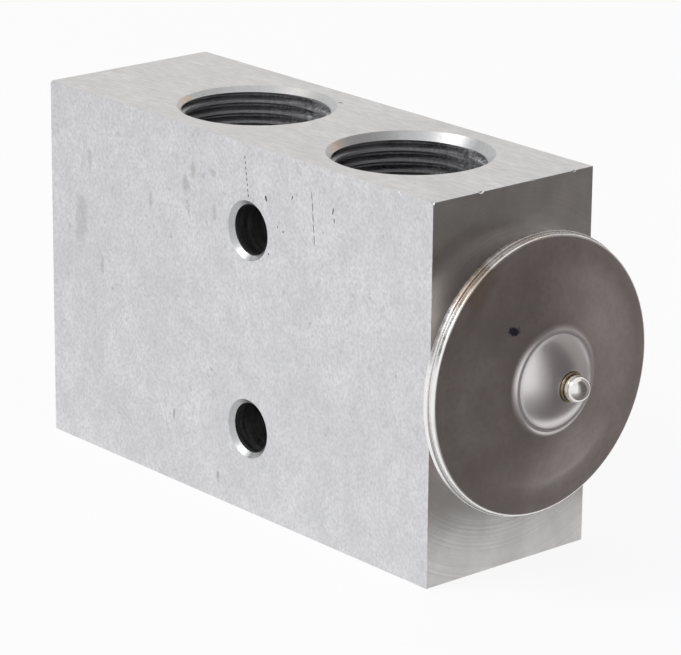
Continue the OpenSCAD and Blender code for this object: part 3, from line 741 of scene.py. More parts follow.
def bore_finish(name, light, dark, smoothest, roughest):
    """Turned metal inside a hole: lines round the wall, and painted shade that darkens it with depth below
    either port face.
    """
    metal = Finish(name)
    chatter = metal.pattern((260, 260, 2600))
    shade_noise = metal.pattern(170, detail=4)
    level = metal.add("ShaderNodeSeparateXYZ", Vector=metal.place).outputs["Z"]
    depth = metal.maths("MINIMUM", level, metal.maths("SUBTRACT", TOP_Z * MM, level))
    uneven_depth = metal.maths("ADD", depth, metal.maths("MULTIPLY", shade_noise, DEPTH_SHADE_WOBBLE))
    deep = metal.spread(uneven_depth, DEPTH_SHADE_FROM, DEPTH_SHADE_TO)
    tone = metal.layers(metal.blend(deep, light, dark), (chatter, 0.4, 0.7, 0.3, OIL_AND_SHADE))
    # Painted shade on one side of each upper port.
    for wall in SHADED_WALLS:
        tone = metal.blend(metal.spot(wall, SHADED_WALL_REACH, shade_noise, 0.6), tone, OIL_AND_SHADE)
    # The painted highlight on the other side of each upper port, broken into streaks.
    sheen_streaks = metal.spread(metal.pattern((1500, 1500, 40), detail=2), 0.34, 0.64)
    for wall in SHEEN_WALLS:
        share = metal.maths("MULTIPLY", metal.spot(wall, SHEEN_REACH, sheen_streaks, 0.85), sheen_streaks)
        tone = metal.blend(share, tone, PAINTED_SHEEN)
    metal.finish(tone, metal.ranged(chatter, smoothest, roughest), metal.relief(chatter, 10 * MICRON, 0.12))
    return metal


bore = bore_finish("threaded_bore", grey(0.92), grey(0.74, -0.01), 0.34, 0.56)
# The thread grooves get a dark copy of the bore's finish, as painted shade.
groove = bore_finish("groove_painted_shade", grey(0.46, -0.01), grey(0.26, -0.02), 0.26, 0.46)

# %% Chamfers, drilled holes with painted shade, and cut marks painted darker
TINTED_ENDS, TINTED_REACH, TINTED = ((-20.9, -5.2, 51.6), (10.6, -5.2, 51.4)), 2.6, (0.60, 0.43, 0.31, 1)
mouth = Finish("bright_chamfer")
edge_marks = mouth.pattern((1800, 1800, 3600))
warm_spots = mouth.pattern(60, detail=2)
tone = mouth.layers(grey(0.50, -0.01), (warm_spots, 0.54, 0.68, 0.3, (0.54, 0.46, 0.40, 1)),
                    (edge_marks, 0.45, 0.75, 0.4, grey(0.42)))
for tinted in TINTED_ENDS:
    tint = mouth.spot([v * MM for v in tinted], TINTED_REACH * MM, warm_spots, 0.5)
    tone = mouth.blend(tint, tone, TINTED)
mouth.finish(tone, mouth.ranged(edge_marks, 0.32, 0.48), mouth.relief(edge_marks, 20 * MICRON, 0.3))

# The cut marks are painted darker inside.
dark_inside_marks = one_pattern("dark_mark", 2500, (grey(0.10), grey(0.22)), (0.5, 0.7), (20 * MICRON, 0.3), detail=2)
# The cross holes are painted dark: rough drilled metal, with painted shade deep in the hole.
drilled_and_shaded = one_pattern("drilled_hole_shaded", (260, 2400, 260), (grey(0.24), grey(0.34)), (0.34, 0.5),
                      (50 * MICRON, 0.4))

# %% [markdown]
# ## The block
# The bar is a box with its edges broken by a small bevel. Ports, cross holes and the stepped bores
# of the valve axis are turned cutters, and the thread worms follow them. The Manifold solver of the
# Boolean modifier is quick and keeps the result closed. Cutter and worm have the same number of
# steps a turn, so that the thread's edges stay clean.

# %% The bar and the cutters for its holes
DRILL_LEAN = tan(radians(59))
PAST = 1.0


def bevelled_bar():
    bm = bmesh.new()
    bmesh.ops.create_cube(bm, size=1.0)
    bm.transform(Matrix.Translation((0, 0, TOP_Z / 2)) @ Matrix.Diagonal((*BODY, 1)))
    bmesh.ops.bevel(bm, geom=bm.edges[:], offset=EDGE_BREAK, segments=2, profile=0.5, affect="EDGES")
    return as_object("valve_block_body", bm)


def at_port(port):
    """Where a port's outline goes, so that it runs into the block."""
    return Matrix.Translation((port.x, 0, port.level)) @ (Matrix() if port.level > 0 else UPSIDE_DOWN)


def port_cutter(port):
    r, wide = port.thread_r, port.thread_r + port.mouth_w
    shoulder = PORT_DEPTH + (r - port.drill_r) / DRILL_LEAN
    tip = port.drill_r / DRILL_LEAN if port.pointed else 0
    outline = [(0, PAST), (wide, PAST), (wide, 0), (r, -port.mouth_h), (r, -PORT_DEPTH),
               (port.drill_r, -shoulder), (port.drill_r, -port.drill_l), (0, -port.drill_l - tip)]
    return turned("cut_" + port.name, outline, at_port(port))


def cross_hole(name, z):
    wide, deep = HOLE_R + HOLE_FLARE, HALF_Y - HOLE_FLARE
    outline = [(0, -HALF_Y - PAST), (wide, -HALF_Y - PAST), (wide, -HALF_Y), (HOLE_R, -deep),
               (HOLE_R, deep), (wide, HALF_Y), (wide, HALF_Y + PAST), (0, HALF_Y + PAST)]
    return turned(name, outline, Matrix.Translation((HOLE_X, 0, z)) @ ALONG_Y)


# %% The bores of the valve's axis, as (radius, place) steps
ADJUSTER_R = 14 / 2 - DEPTH_SHARE
TAIL_STEPS = [
    (0, -END_X - PAST), (7.3, -END_X - PAST), (7.3, -END_X), (ADJUSTER_R, -END_X + 0.84), (ADJUSTER_R, -33.6),
    (6.2, -33.6), (6.2, -19.2), (4.0, -19.2), (4.0, -16.6), (2.25, -16.6), (2.25, LIQUID_X), (0, LIQUID_X)]
HEAD_STEPS = [
    (0, LIQUID_X), (1.25, LIQUID_X), (1.25, 5.9), (3.05, 5.9), (3.05, 9.2), (4.42, 9.2), (4.42, SUCTION_X),
    (5.2, SUCTION_X), (5.2, 31.3), (11.0, 31.3), (11.0, 38.4), (12.9, END_X), (12.9, END_X + PAST),
    (0, END_X + PAST)]
plain_cutters = [port_cutter(port) for port in PORTS] + [
    cross_hole("cut_hole_low", HOLE_LOW), cross_hole("cut_hole_high", HOLE_HIGH),
    turned("cut_tail", TAIL_STEPS), turned("cut_head", HEAD_STEPS)]
print(len(plain_cutters), "plain cutters")

# %% Thread worms of the block
THREAD_FOOT = 0.8
NEAR_ANGLE = radians(-41)
TAP_PITCH, TAP_END, TAP_START = 1.0, -33.9, -41.9
port_depth = DEPTH_SHARE * PORT_PITCH
thread_shape = thread_tree(bore.material)
worms = [
    worm("thread_" + port.name, thread_shape, port.thread_r, PORT_PITCH, THREAD_FOOT - PORT_DEPTH,
         port.thread_top, port_depth, at_port(port), end_angle=NEAR_ANGLE) for port in PORTS]
worms.append(worm("thread_tail", thread_shape, ADJUSTER_R, TAP_PITCH, TAP_START, TAP_END,
                  DEPTH_SHARE, ON_AXIS))
for ob in worms:
    facts(ob)

# %% [markdown]
# ### Nicks, pits and scratches
# The photograph shows small marks: a dashed scratch above the upper hole, a longer one to its right,
# a few pits, and nicks along the upper edges. They are cut, so that they catch light from every side,
# and away from the edges they are painted darker inside. Geometry Nodes put one small stone shape on
# each point of a list, with the size and turn that the point carries.

# %% The list of marks: place, half sizes and turn about each axis
DEG = radians(1)
SCRATCH_DEPTH = 0.07
STRAIGHT = (0, 0, 0)


def dashes(start, end, pieces, half_width, fill=0.62):
    """A broken scratch on the near side, as short marks in line."""
    first, last = Vector(start), Vector(end)
    step = (last - first) / pieces
    tilt = atan2(step.x, step.z)
    spots = []
    for i in range(pieces):
        middle = first + step * (i + 0.5)
        spots.append((tuple(middle), (half_width, SCRATCH_DEPTH, step.length * fill / 2), (0, tilt, 0)))
    return spots


marks = dashes((3.03, SIDE_Y, 50.4), (3.84, SIDE_Y, 44.5), 8, 0.10)
marks += dashes((16.79, SIDE_Y, 48.4), (17.45, SIDE_Y, 41.2), 5, 0.07, 0.9)
marks += [
    ((7.49, SIDE_Y, 45.3), (0.2, 0.12, 0.42), (0, -20 * DEG, 0)),
    ((9.89, SIDE_Y, 41.94), (0.1, 0.09, 0.14), STRAIGHT),
    ((11.03, SIDE_Y, 41.51), (0.13, 0.1, 0.15), (0, 30 * DEG, 0)),
    ((8.05, SIDE_Y, 37.78), (0.13, 0.1, 0.13), STRAIGHT),
    ((21.1, SIDE_Y, 46.6), (0.12, 0.08, 0.5), (0, 12 * DEG, 0)),
    ((21.35, SIDE_Y, 45.4), (0.1, 0.08, 0.35), (0, -10 * DEG, 0)),
    ((12.9, SIDE_Y, 46.6), (0.1, 0.07, 0.35), (0, 25 * DEG, 0)),
    ((-12.45, SIDE_Y, 9.8), (0.09, 0.07, 0.8), (0, 2 * DEG, 0)),
    ((34.0, SIDE_Y, TOP_Z), (0.5, 0.22, 0.22), STRAIGHT),
    ((37.7, SIDE_Y, TOP_Z), (0.3, 0.16, 0.16), STRAIGHT),
    ((END_X, SIDE_Y, TOP_Z), (0.34, 0.34, 0.34), (20 * DEG, 30 * DEG, 0)),
    ((END_X, -5.8, TOP_Z), (0.28, 0.5, 0.3), (0, 0, 15 * DEG)),
    ((END_X, 10.6, TOP_Z), (0.2, 0.34, 0.22), STRAIGHT),
    ((END_X, 3.2, TOP_Z), (0.12, 0.7, 0.12), STRAIGHT),
    ((-END_X, SIDE_Y, TOP_Z), (0.3, 0.3, 0.24), (0, 30 * DEG, 20 * DEG)),
    ((-END_X, HALF_Y, TOP_Z), (0.3, 0.3, 0.24), (0, 0, 40 * DEG)),
    ((-20.5, SIDE_Y, TOP_Z), (0.9, 0.1, 0.1), STRAIGHT),
    ((-5.16, 9.77, TOP_Z), (0.4, 0.2, 0.1), (0, 0, 30 * DEG)),
    ((END_X, SIDE_Y, 20.0), (0.12, 0.12, 1.1), STRAIGHT),
    ((END_X, HALF_Y, 33.0), (0.14, 0.14, 0.5), STRAIGHT),
    ((-END_X, HALF_Y, 15.0), (0.14, 0.14, 0.7), STRAIGHT),
    ((-END_X, -4.0, 0.0), (0.14, 0.7, 0.14), STRAIGHT),
    ((12.0, HALF_Y, TOP_Z), (0.8, 0.12, 0.12), STRAIGHT),
    ((-10.0, HALF_Y, 31.0), (0.09, 0.08, 1.3), (0, 14 * DEG, 0)),
    ((-24.0, HALF_Y, 18.0), (0.2, 0.1, 0.16), STRAIGHT),
    ((26.0, HALF_Y, 12.0), (0.14, 0.09, 0.3), (0, 40 * DEG, 0)),
]
print(len(marks), "marks")

# %% The tree that sets a stone on each mark


def stones_tree(material):
    grow = Growth("stones_on_marks", ("Stone Radius",), on_points=True)
    stone = grow.add("GeometryNodeMeshIcoSphere", Subdivisions=2, Radius=grow.given["Stone Radius"])
    carried = {}
    for attribute, socket in (("half_size", "Scale"), ("turn", "Rotation")):
        read = grow.add("GeometryNodeInputNamedAttribute", {"data_type": "FLOAT_VECTOR"}, Name=attribute)
        carried[socket] = read.outputs["Attribute"]
    spread = grow.add("GeometryNodeInstanceOnPoints", Points=grow.given["Geometry"],
                      Instance=stone.outputs["Mesh"], **carried)
    return grow.end(spread.outputs[0], material)


stone_shape = stones_tree(drilled_and_shaded.material)


def stones(name, spots):
    """One closed stone for each (place, half sizes, turn), as a single cutter."""
    mesh = bpy.data.meshes.new(name)
    mesh.from_pydata([spot[0] for spot in spots], [], [])
    for k, attribute in ((1, "half_size"), (2, "turn")):
        layer = mesh.attributes.new(attribute, "FLOAT_VECTOR", "POINT")
        layer.data.foreach_set("vector", [v for spot in spots for v in spot[k]])
    ob = grown(name, stone_shape, {"Stone Radius": 1.0}, bpy.data.objects.new(name, mesh))
    ob.data.transform(Matrix.Scale(MM, 4))
    return ob


block = cut_away(bevelled_bar(), plain_cutters + worms + [stones("block_marks", marks)])
facts(block)

# %% [markdown]
# ### Which finish each face gets
# The finish follows from where a face is and which way it looks: a flat outer face, a chamfer round
# a mouth, a bore, or a cross hole. Working it out from the shape is safer than following material
# numbers through all the cuts.

# %% Sort the faces
FLAT, LEANING, UPRIGHT_WALL, SKIN = 0.999, 0.3, 0.2, 0.01
MARK_DEPTH, EDGE_DEPTH, FROM_EDGE = 0.3, 0.5, 1.0
FLARE_DEPTH, MOUTH_REACH = HOLE_FLARE + 0.05, 1.12
THREAD_REACH, CREST_REACH, FLOOR_BAND = 1.0, 0.05, 0.3


def finish_of(centre, normal):
    x, y, z = centre / MM
    if abs(normal.y) > FLAT and abs(y) > HALF_Y - SKIN:
        return side
    if abs(normal.z) > FLAT and (z < SKIN or z > TOP_Z - SKIN):
        return port_face
    if abs(normal.x) > FLAT and abs(x) > END_X - SKIN:
        return end_face
    nearest_hole = min((HOLE_LOW, HOLE_HIGH), key=lambda h: abs(z - h))
    if Vector((x - HOLE_X, z - nearest_hole)).length < HOLE_R + HOLE_FLARE + SKIN:
        return mouth if abs(y) > HALF_Y - FLARE_DEPTH and abs(normal.y) > LEANING else drilled_and_shaded
    for port in PORTS:
        out, down = Vector((x - port.x, y)).length, abs(z - port.level)
        if out < port.thread_r + MOUTH_REACH and down < port.mouth_h:
            return mouth
        if out < port.thread_r + THREAD_REACH and down < PORT_DEPTH + FLOOR_BAND:
            on_crest = abs(normal.z) < UPRIGHT_WALL and out < port.thread_r + CREST_REACH
            return bore if on_crest and down < PORT_DEPTH - FLOOR_BAND else groove
    inside_edges = abs(x) < END_X - EDGE_DEPTH and EDGE_DEPTH < z < TOP_Z - EDGE_DEPTH
    if abs(y) > HALF_Y - MARK_DEPTH and inside_edges:
        return dark_inside_marks
    if z > TOP_Z - MARK_DEPTH and abs(x) < END_X - FROM_EDGE and abs(y) < HALF_Y - FROM_EDGE:
        return dark_inside_marks
    if abs(y) > HALF_Y - EDGE_DEPTH or z > TOP_Z - EDGE_DEPTH or z < EDGE_DEPTH:
        return side
    return bore


def sort_faces(ob, finishes, choose):
    mesh = ob.data
    mesh.materials.clear()
    for finish in finishes:
        mesh.materials.append(finish.material)
    for face in mesh.polygons:
        face.material_index = finishes.index(choose(face.center, face.normal))
    print(ob.name, "wears", ", ".join(finish.material.name for finish in finishes))


def one_finish(ob, finish):
    sort_faces(ob, [finish], lambda centre, normal: finish)


sort_faces(block, [side, port_face, end_face, bore, groove, mouth, drilled_and_shaded, dark_inside_marks], finish_of)
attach(block, "block")
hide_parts("valve_block")

# %% [markdown]
# ## The power head's finishes
# The head is stamped stainless steel. Its face is satin with a faint brown tint from the weld round
# the rim, and spun in rings. The dome is brighter, and the crease at its foot is duller. The rim
# itself is ground bright.

# %% Satin face
INK_PLACE, INK_REACH, INK = (0.0477, -0.0065, 0.0354), 0.0007, (0.04, 0.05, 0.11, 1)
TINT_PLACE, WELD_TINT = (0.0463, -0.0118, 0.0428), (0.42, 0.30, 0.21, 1)
FACE_TINT_REACH, RIM_TINT_REACH = 0.0035, 0.0045
DOME_LIGHT, FOOT_SHADE = (0.72, 0.69, 0.695, 1), (0.42, 0.375, 0.365, 1)
DOME_IN, DOME_OUT, FOOT_SHADE_IN, FOOT_SHADE_OUT = 0.0066, 0.0076, 0.0070, 0.0098
CREASE_R, CREASE_CORE, CREASE_EDGE = 0.00642, 0.0001, 0.0005
STEEL_DARK, STEEL_LIGHT = (0.465, 0.422, 0.412, 1), (0.57, 0.525, 0.51, 1)
STEEL_GRAIN = (0.42, 0.37, 0.355, 1)

satin = Finish("satin_stainless")
ring_distance = satin.from_axis()
spin = satin.rings(ring_distance, 2600, detail=2)
mottle = satin.pattern(1300, detail=4)
blotch = satin.pattern(150, detail=6, roughness=0.62)
tone = satin.layers(satin.blend(satin.ranged(blotch), STEEL_DARK, STEEL_LIGHT),
                    (mottle, 0.4, 0.75, 0.45, STEEL_GRAIN))
# Painted shade: a soft darker ring round the foot of the dome.
tone = satin.blend(satin.spread(ring_distance, FOOT_SHADE_IN, FOOT_SHADE_OUT, 0.45, 0.0), tone, FOOT_SHADE)
tone = satin.blend(satin.spot(TINT_PLACE, FACE_TINT_REACH, blotch, 0.5), tone, WELD_TINT)
tone = satin.blend(satin.spot(INK_PLACE, INK_REACH, mottle, 0.9, (1, 1.3, 1)), tone, INK)
tone = satin.blend(satin.spread(ring_distance, DOME_IN, DOME_OUT, 1.0, 0.0), tone, DOME_LIGHT)
from_crease = satin.maths("ABSOLUTE", satin.maths("SUBTRACT", ring_distance, CREASE_R))
satin.finish(tone, satin.spread(from_crease, CREASE_CORE, CREASE_EDGE, 0.62, 0.31),
             satin.relief(mottle, 4 * MICRON, 0.10, satin.relief(spin, 10 * MICRON, 0.12)))

# %% Bright rim
rim = Finish("ground_rim")
scuff = rim.pattern((400, 900, 900), detail=4)
heat = rim.pattern(120)
tone = rim.layers(grey(0.88, 0.01), (heat, 0.56, 0.74, 0.4, (0.62, 0.50, 0.42, 1)))
tone = rim.blend(rim.spot(TINT_PLACE, RIM_TINT_REACH, heat, 0.7), tone, WELD_TINT)
tone = rim.layers(tone, (scuff, 0.52, 0.78, 0.25, grey(0.66, 0.04)))
rim.finish(tone, rim.ranged(scuff, 0.22, 0.34), rim.relief(scuff, 30 * MICRON, 0.15))

# %% [markdown]
# ## The cover of the power head
# A disc pressed from one sheet: a rounded edge, a flat ring, a shallow cone, a bead at the foot of
# the dome, and the dome with a seat for the charging ball. It is one outline, spun. The inner side
# of the dome lies a sheet's thickness behind, so that the cover is a real shell.

# %% Cover
COVER_BACK, COVER_FACE, COVER_R = 45.5, 46.3, 18.72
FLAT_R, CONE_TOP, FOOT_R, SHEET = 15.85, 48.5, 6.85, 0.8
DOME_TOP, DOME_SPHERE, DOME_R = 51.86, 8.1, 6.3
DOME_CENTRE = DOME_TOP - DOME_SPHERE
CHIPS = [
    ((46.25, -18.55, 31.3), (0.16, 0.14, 0.5), (10 * DEG, 0, 0)),
    ((46.3, -18.3, 32.6), (0.12, 0.12, 0.22), STRAIGHT),
    ((46.3, 17.9, 22.4), (0.12, 0.12, 0.3), STRAIGHT),
]

dome_side = arc(DOME_CENTRE, DOME_SPHERE, 2.25, DOME_R - 0.04, 20)
seat = [(1.05, 51.1), (1.435, 51.5), (1.9, 51.5), (1.98, 51.56), (2.1, 51.62)]
foot = rounded([
    (DOME_R, 48.84, 0.0), (DOME_R + 0.05, 48.82, 0.02), (DOME_R + 0.14, 48.88, 0.04),
    (FOOT_R - 0.12, 48.82, 0.2), (FOOT_R + 0.3, CONE_TOP - 0.09, 1.6), (FLAT_R, COVER_FACE, 12.0),
    (COVER_R, COVER_FACE, 0.3), (COVER_R, COVER_BACK, 0.05), (15.75, COVER_BACK, 0.0), (6.75, 47.68, 0.0),
], steps=8)
hollow = list(reversed(arc(DOME_CENTRE, DOME_SPHERE - SHEET, 1.05, 5.4, 10)))
cover = turned("head_cover_disc", seat + dome_side + foot + hollow, around=FINE)
facts(cover)
cut_away(cover, [stones("cover_chips", CHIPS)], solver="EXACT")

# %% Weld bead that closes the seam between cover and base
BEAD_R, BEAD_IN, BEAD_LOW, BEAD_HIGH = COVER_R + 0.06, 18.3, COVER_BACK - 0.16, COVER_BACK + 0.02
bead = turned("rim_weld", rounded([
    (BEAD_IN, BEAD_LOW, 0.0), (BEAD_R, BEAD_LOW, 0.05), (BEAD_R, BEAD_HIGH, 0.05), (BEAD_IN, BEAD_HIGH, 0.0),
]), around=FINE)
one_finish(bead, rim)
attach(bead, "block")

# %% Finish of the cover
RIM_BAND = 0.42


def cover_finish(centre, normal):
    r = Vector((centre.y, centre.z - AXIS_Z * MM)).length / MM
    return rim if r > COVER_R - RIM_BAND else satin


sort_faces(cover, [satin, rim], cover_finish)
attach(cover, "block")
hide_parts("head_cover")

# %% [markdown]
# ## The base behind it
# Seen from the side the head has a second, thinner edge. It belongs to the pressed base, a cup with
# a threaded hub that screws into the block.

# %% Base
BASE_BACK, BASE_TOP, BASE_R, HUB_R, RIM_FROM_X = 44.5, 45.3, 19.0, 10.95, 44.2
HUB_THREAD = (31.0, 39.2)
base_outline = rounded([
    (8.55, 32.3, 0.2), (HUB_R, 32.3, 0.5), (HUB_R, END_X, 0.0), (13.6, END_X, 0.3),
    (17.2, BASE_BACK, 0.5), (BASE_R, BASE_BACK, 0.2), (BASE_R, BASE_TOP, 0.07), (16.6, BASE_TOP, 0.2),
    (13.1, 41.3, 0.5), (8.55, 41.3, 0.2),
])
base = turned("head_base_cup", base_outline, around=FINE)
cut_away(base, [worm("thread_hub", thread_shape, HUB_R, PORT_PITCH, *HUB_THREAD, -port_depth, ON_AXIS)])
facts(base)
sort_faces(base, [satin, rim], lambda centre, normal: rim if centre.x > RIM_FROM_X * MM else satin)
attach(base, "block")
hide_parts("head_base")

# %% [markdown]
# ## The charging ball
# The head is filled with gas through a hole in the dome, and a steel ball is welded in to close it.
# The ball is polished and sits in a thin ring of weld.

# %% Their finishes
polish = one_pattern("polished_ball", 900, (grey(0.82, 0.02), grey(0.70, 0.05)), (0.05, 0.12),
                     steps=(0.4, 0.7))
straw = one_pattern("weld_ring", 1500, ((0.46, 0.39, 0.25, 1), (0.28, 0.22, 0.14, 1)), (0.25, 0.45),
                    (50 * MICRON, 0.5), steps=(0.35, 0.7))

# %% Ball and weld ring
BALL_X, BALL_R, BALL_STEPS = 52.58, 1.78, 48
ball_outline = [(BALL_R * sin(pi * k / BALL_STEPS), BALL_X - BALL_R * cos(pi * k / BALL_STEPS))
                for k in range(BALL_STEPS + 1)]
ball_outline[0], ball_outline[-1] = (0, BALL_X - BALL_R), (0, BALL_X + BALL_R)
ball = turned("charging_ball", ball_outline, around=SMALL)
ring_outline = rounded([(1.62, 51.52, 0.0), (1.93, 51.52, 0.03), (1.92, 51.86, 0.08), (1.72, 51.94, 0.06)])
weld = turned("charging_weld", ring_outline, around=SMALL)
for piece, finish, slot in ((ball, polish, "polished_ball"), (weld, straw, "head_cover")):
    one_finish(piece, finish)
    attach(piece, "block")
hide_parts("charge_ball")

# %% [markdown]
# ## The adjusting screw
# In the far end sits the screw that sets the spring. Its thread is the same worm as the block's, a
# little thinner and joined instead of cut, so the two mesh at every turn. The hexagon socket takes
# a key.

# %% Turned brass
brass = Finish("turned_brass")
lathe_lines = brass.rings(brass.from_axis(), 2400, detail=1)
stain = brass.pattern(160, detail=4)
tone = brass.blend(brass.spread(stain, 0.35, 0.7), (0.66, 0.50, 0.24, 1), (0.50, 0.37, 0.18, 1))
brass.finish(tone, brass.ranged(lathe_lines, 0.22, 0.36), brass.relief(lathe_lines, 30 * MICRON, 0.3))

# %% Screw
SCREW_OUT, SCREW_HEAD, SCREW_FRONT = -39.2, -35.2, -29.0
HEAD_R, NOSE_R = ADJUSTER_R - 0.05, 6.1
RING_X, GROOVE_R, GROOVE_HALF = -30.8, 4.94, 0.8
POCKET_R, POCKET_FLOOR = 4.1, -34.63
SCREW_THREAD_START, SCREW_THREAD_END = -38.65, -35.75
SCREW_PLAY, SCREW_CLEARANCE = 0.08, 0.02
screw_outline = rounded([
    (0.01, SCREW_OUT, 0.0), (HEAD_R, SCREW_OUT, 0.4), (HEAD_R, SCREW_HEAD, 0.1), (NOSE_R, SCREW_HEAD, 0.0),
    (NOSE_R, RING_X - GROOVE_HALF, 0.06), (GROOVE_R, RING_X - GROOVE_HALF, 0.1),
    (GROOVE_R, RING_X + GROOVE_HALF, 0.1), (NOSE_R, RING_X + GROOVE_HALF, 0.06), (NOSE_R, SCREW_FRONT, 0.35),
    (POCKET_R, SCREW_FRONT, 0.15), (POCKET_R, POCKET_FLOOR, 0.1), (0.01, POCKET_FLOOR, 0.0),
])
screw_outline = [(0, SCREW_OUT)] + screw_outline[1:-1] + [(0, POCKET_FLOOR)]
screw = turned("adjusting_screw", screw_outline)
screw_angle = 2 * pi * (SCREW_THREAD_END - TAP_START)
screw_worm = worm("thread_screw", thread_shape, HEAD_R, TAP_PITCH, SCREW_THREAD_START, SCREW_THREAD_END,
                  DEPTH_SHARE - SCREW_CLEARANCE, ON_AXIS, play=SCREW_PLAY, end_angle=screw_angle)
cut_away(screw, [screw_worm], "UNION")

# %% Its hexagon socket
SOCKET_W, SOCKET_DEPTH, SOCKET_CONE = 6.0, 3.2, 0.5
LEAD_OUT, LEAD_IN, LEAD_DEPTH = 1.25, 0.35, 0.6
corner_r = SOCKET_W / 2 / cos(radians(30))
outside, floor_x, lead_x = SCREW_OUT - PAST, SCREW_OUT + SOCKET_DEPTH, SCREW_OUT + LEAD_DEPTH
key_outline = [(0, outside), (corner_r, outside), (corner_r, floor_x - SOCKET_CONE), (0, floor_x)]
lead_outline = [(0, outside), (corner_r + LEAD_OUT, outside), (corner_r - LEAD_IN, lead_x), (0, lead_x)]
cut_away(screw, [turned("cut_key", key_outline, around=6), turned("cut_lead", lead_outline)])
facts(screw)
one_finish(screw, brass)
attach(screw, "adjuster")
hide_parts("adjuster_screw")

# %% [markdown]
# ## The superheat spring
# The spring closes the valve. It is a wire along a coil whose end turns lie close, so a line's points
# are set on a helix, and three Map Range nodes give its rise: slow, quick, slow. It is made in two
# lengths, a rear one and a front one, and the front one is attached to the block.

# %% Wire and its tree
WIRE_R, COIL_TURNS, COIL_R = 0.47, 5, 3.3
STEPS_A_TURN, WIRE_SIDES = 48, 16
wire = one_pattern("spring_wire", (1400, 500, 500), (grey(0.52, -0.03), grey(0.62)), (0.22, 0.36),
                   (20 * MICRON, 0.3), steps=(0.35, 0.7))


def spring_tree(material):
    grow = Growth("coil_spring", ("From Turn", "To Turn", "Rise", "End Rise", "Coil Radius", "Wire Radius"))
    given, maths = grow.given, grow.maths

    def rise(turn, first, last, by):
        node = grow.add("ShaderNodeMapRange", Value=turn, From_Min=first, From_Max=last, To_Max=by)
        return node.outputs[0]

    def round_axis(function, angle):
        return maths("MULTIPLY", maths(function, angle), given["Coil Radius"])

    count = maths("SUBTRACT", given["To Turn"], given["From Turn"])
    line = grow.add("GeometryNodeCurvePrimitiveLine").outputs[0]
    steps = maths("ADD", maths("MULTIPLY", count, STEPS_A_TURN), 1)
    points = grow.add("GeometryNodeResampleCurve", Curve=line, Count=steps)
    factor = grow.add("GeometryNodeSplineParameter").outputs["Factor"]
    turn = maths("ADD", maths("MULTIPLY", factor, count), given["From Turn"])
    middle = maths("SUBTRACT", given["Rise"], maths("MULTIPLY", given["End Rise"], 2))
    height = maths("ADD", rise(turn, 0, 1, given["End Rise"]), rise(turn, 1, COIL_TURNS - 1, middle))
    height = maths("ADD", height, rise(turn, COIL_TURNS - 1, COIL_TURNS, given["End Rise"]))
    angle = maths("MULTIPLY", turn, 2 * pi)
    spot = grow.add("ShaderNodeCombineXYZ", X=round_axis("COSINE", angle), Y=round_axis("SINE", angle),
                    Z=height)
    path = grow.add("GeometryNodeSetPosition", Geometry=points.outputs[0], Position=spot.outputs[0])
    section = grow.add("GeometryNodeCurvePrimitiveCircle", Resolution=WIRE_SIDES, Radius=given["Wire Radius"])
    return grow.end(grow.sweep(path.outputs[0], section.outputs[0]), material)


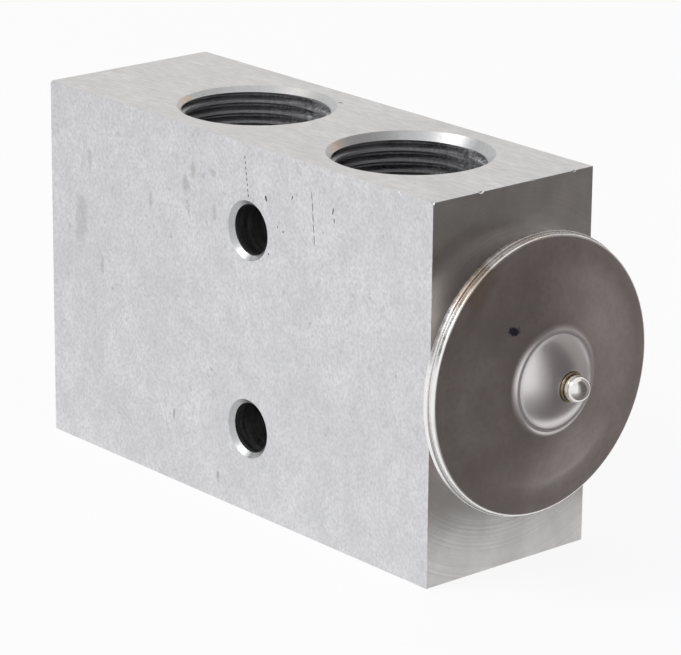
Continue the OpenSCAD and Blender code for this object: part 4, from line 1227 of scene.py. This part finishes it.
# %% Two lengths of spring
SPRING_BACK, SPRING_FRONT, END_GAP = -34.6, -26.56, 0.03
SPLIT_TURN, BLEND_LENGTH, STROKE = 3, 0.6, 0.8
END_RISE = 0.75 * 2 * WIRE_R
coil_start = SPRING_BACK + WIRE_R + END_GAP
coil_rise = SPRING_FRONT - SPRING_BACK - 2 * WIRE_R - 2 * END_GAP
coil_shape = spring_tree(wire.material)
spring = {}
for name, first, last in (("spring_rear", 0, SPLIT_TURN), ("spring_front", SPLIT_TURN, COIL_TURNS)):
    coil = grown(name, coil_shape, {
        "From Turn": first, "To Turn": last, "Rise": coil_rise, "End Rise": END_RISE,
        "Coil Radius": COIL_R, "Wire Radius": WIRE_R,
    })
    spring[name] = remade(name, coil, Matrix.Translation((0, 0, coil_start)), ON_AXIS)
    one_finish(spring[name], wire)
    facts(spring[name])

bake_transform(spring["spring_rear"])
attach(spring["spring_front"], "block")
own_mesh(spring["spring_front"])
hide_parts("superheat_spring")

# %% [markdown]
# ## The inner works
# The rest of the valve keeps its CAD shape, because turned rods, seals and seats are right as they
# are. Each gets a finish of its own kind. The sensing rod shows through the suction ports.

# %% Finishes of the inner pieces
rubber = one_pattern("seal_rubber", 500, (grey(0.018), grey(0.035)), (0.45, 0.6), (30 * MICRON, 0.3),
                     steps=(0.4, 0.7), detail=4, metallic=0.0)


def turned_metal(name, light, dark, roughness):
    """Metal turned on the valve axis: lines across the axis and a soft stain."""
    metal = Finish(name)
    cuts = metal.pattern((5200, 60, 60), detail=2)
    soft = metal.pattern(180, detail=4)
    metal.finish(metal.blend(metal.spread(soft, 0.35, 0.7), light, dark),
                 metal.ranged(cuts, roughness, roughness + 0.12), metal.relief(cuts, 30 * MICRON, 0.3))
    return metal


steel = turned_metal("ground_steel", grey(0.56, 0.01), grey(0.48, 0.02), 0.16)
rod_metal = turned_metal("drawn_aluminium", grey(0.70), grey(0.60, -0.01), 0.26)
foil = turned_metal("spring_sheet", grey(0.58, -0.01), grey(0.48, 0.02), 0.22)

# %% Dress the CAD nodes that stay
inner = {
    "orifice_seat": steel, "head_seal": rubber, "diaphragm": foil, "diaphragm_pad": brass,
    "sensing_rod": rod_metal, "push_rod": steel, "rod_o_ring": rubber, "rod_seal_retainer": foil,
    "valve_ball": polish, "ball_carrier": brass, "damper_clip": foil, "adjuster_o_ring": rubber,
}
for name, finish in inner.items():
    mesh = nodes[name].data
    mesh.materials.clear()
    mesh.materials.append(finish.material)
print(len(inner), "CAD nodes keep their shape")

# %% [markdown]
# ## Both sizes
# The box of the CAD model and the box of the dressed model are both printed. The dressed model may
# not be larger than the CAD model.

# %% Print both boxes
boxes = {"cad": [list(v) for v in cad_box], "visual": [list(v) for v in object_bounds()]}
for key, corners in boxes.items():
    print(key, [[round(v / MM, 2) for v in corner] for corner in corners])
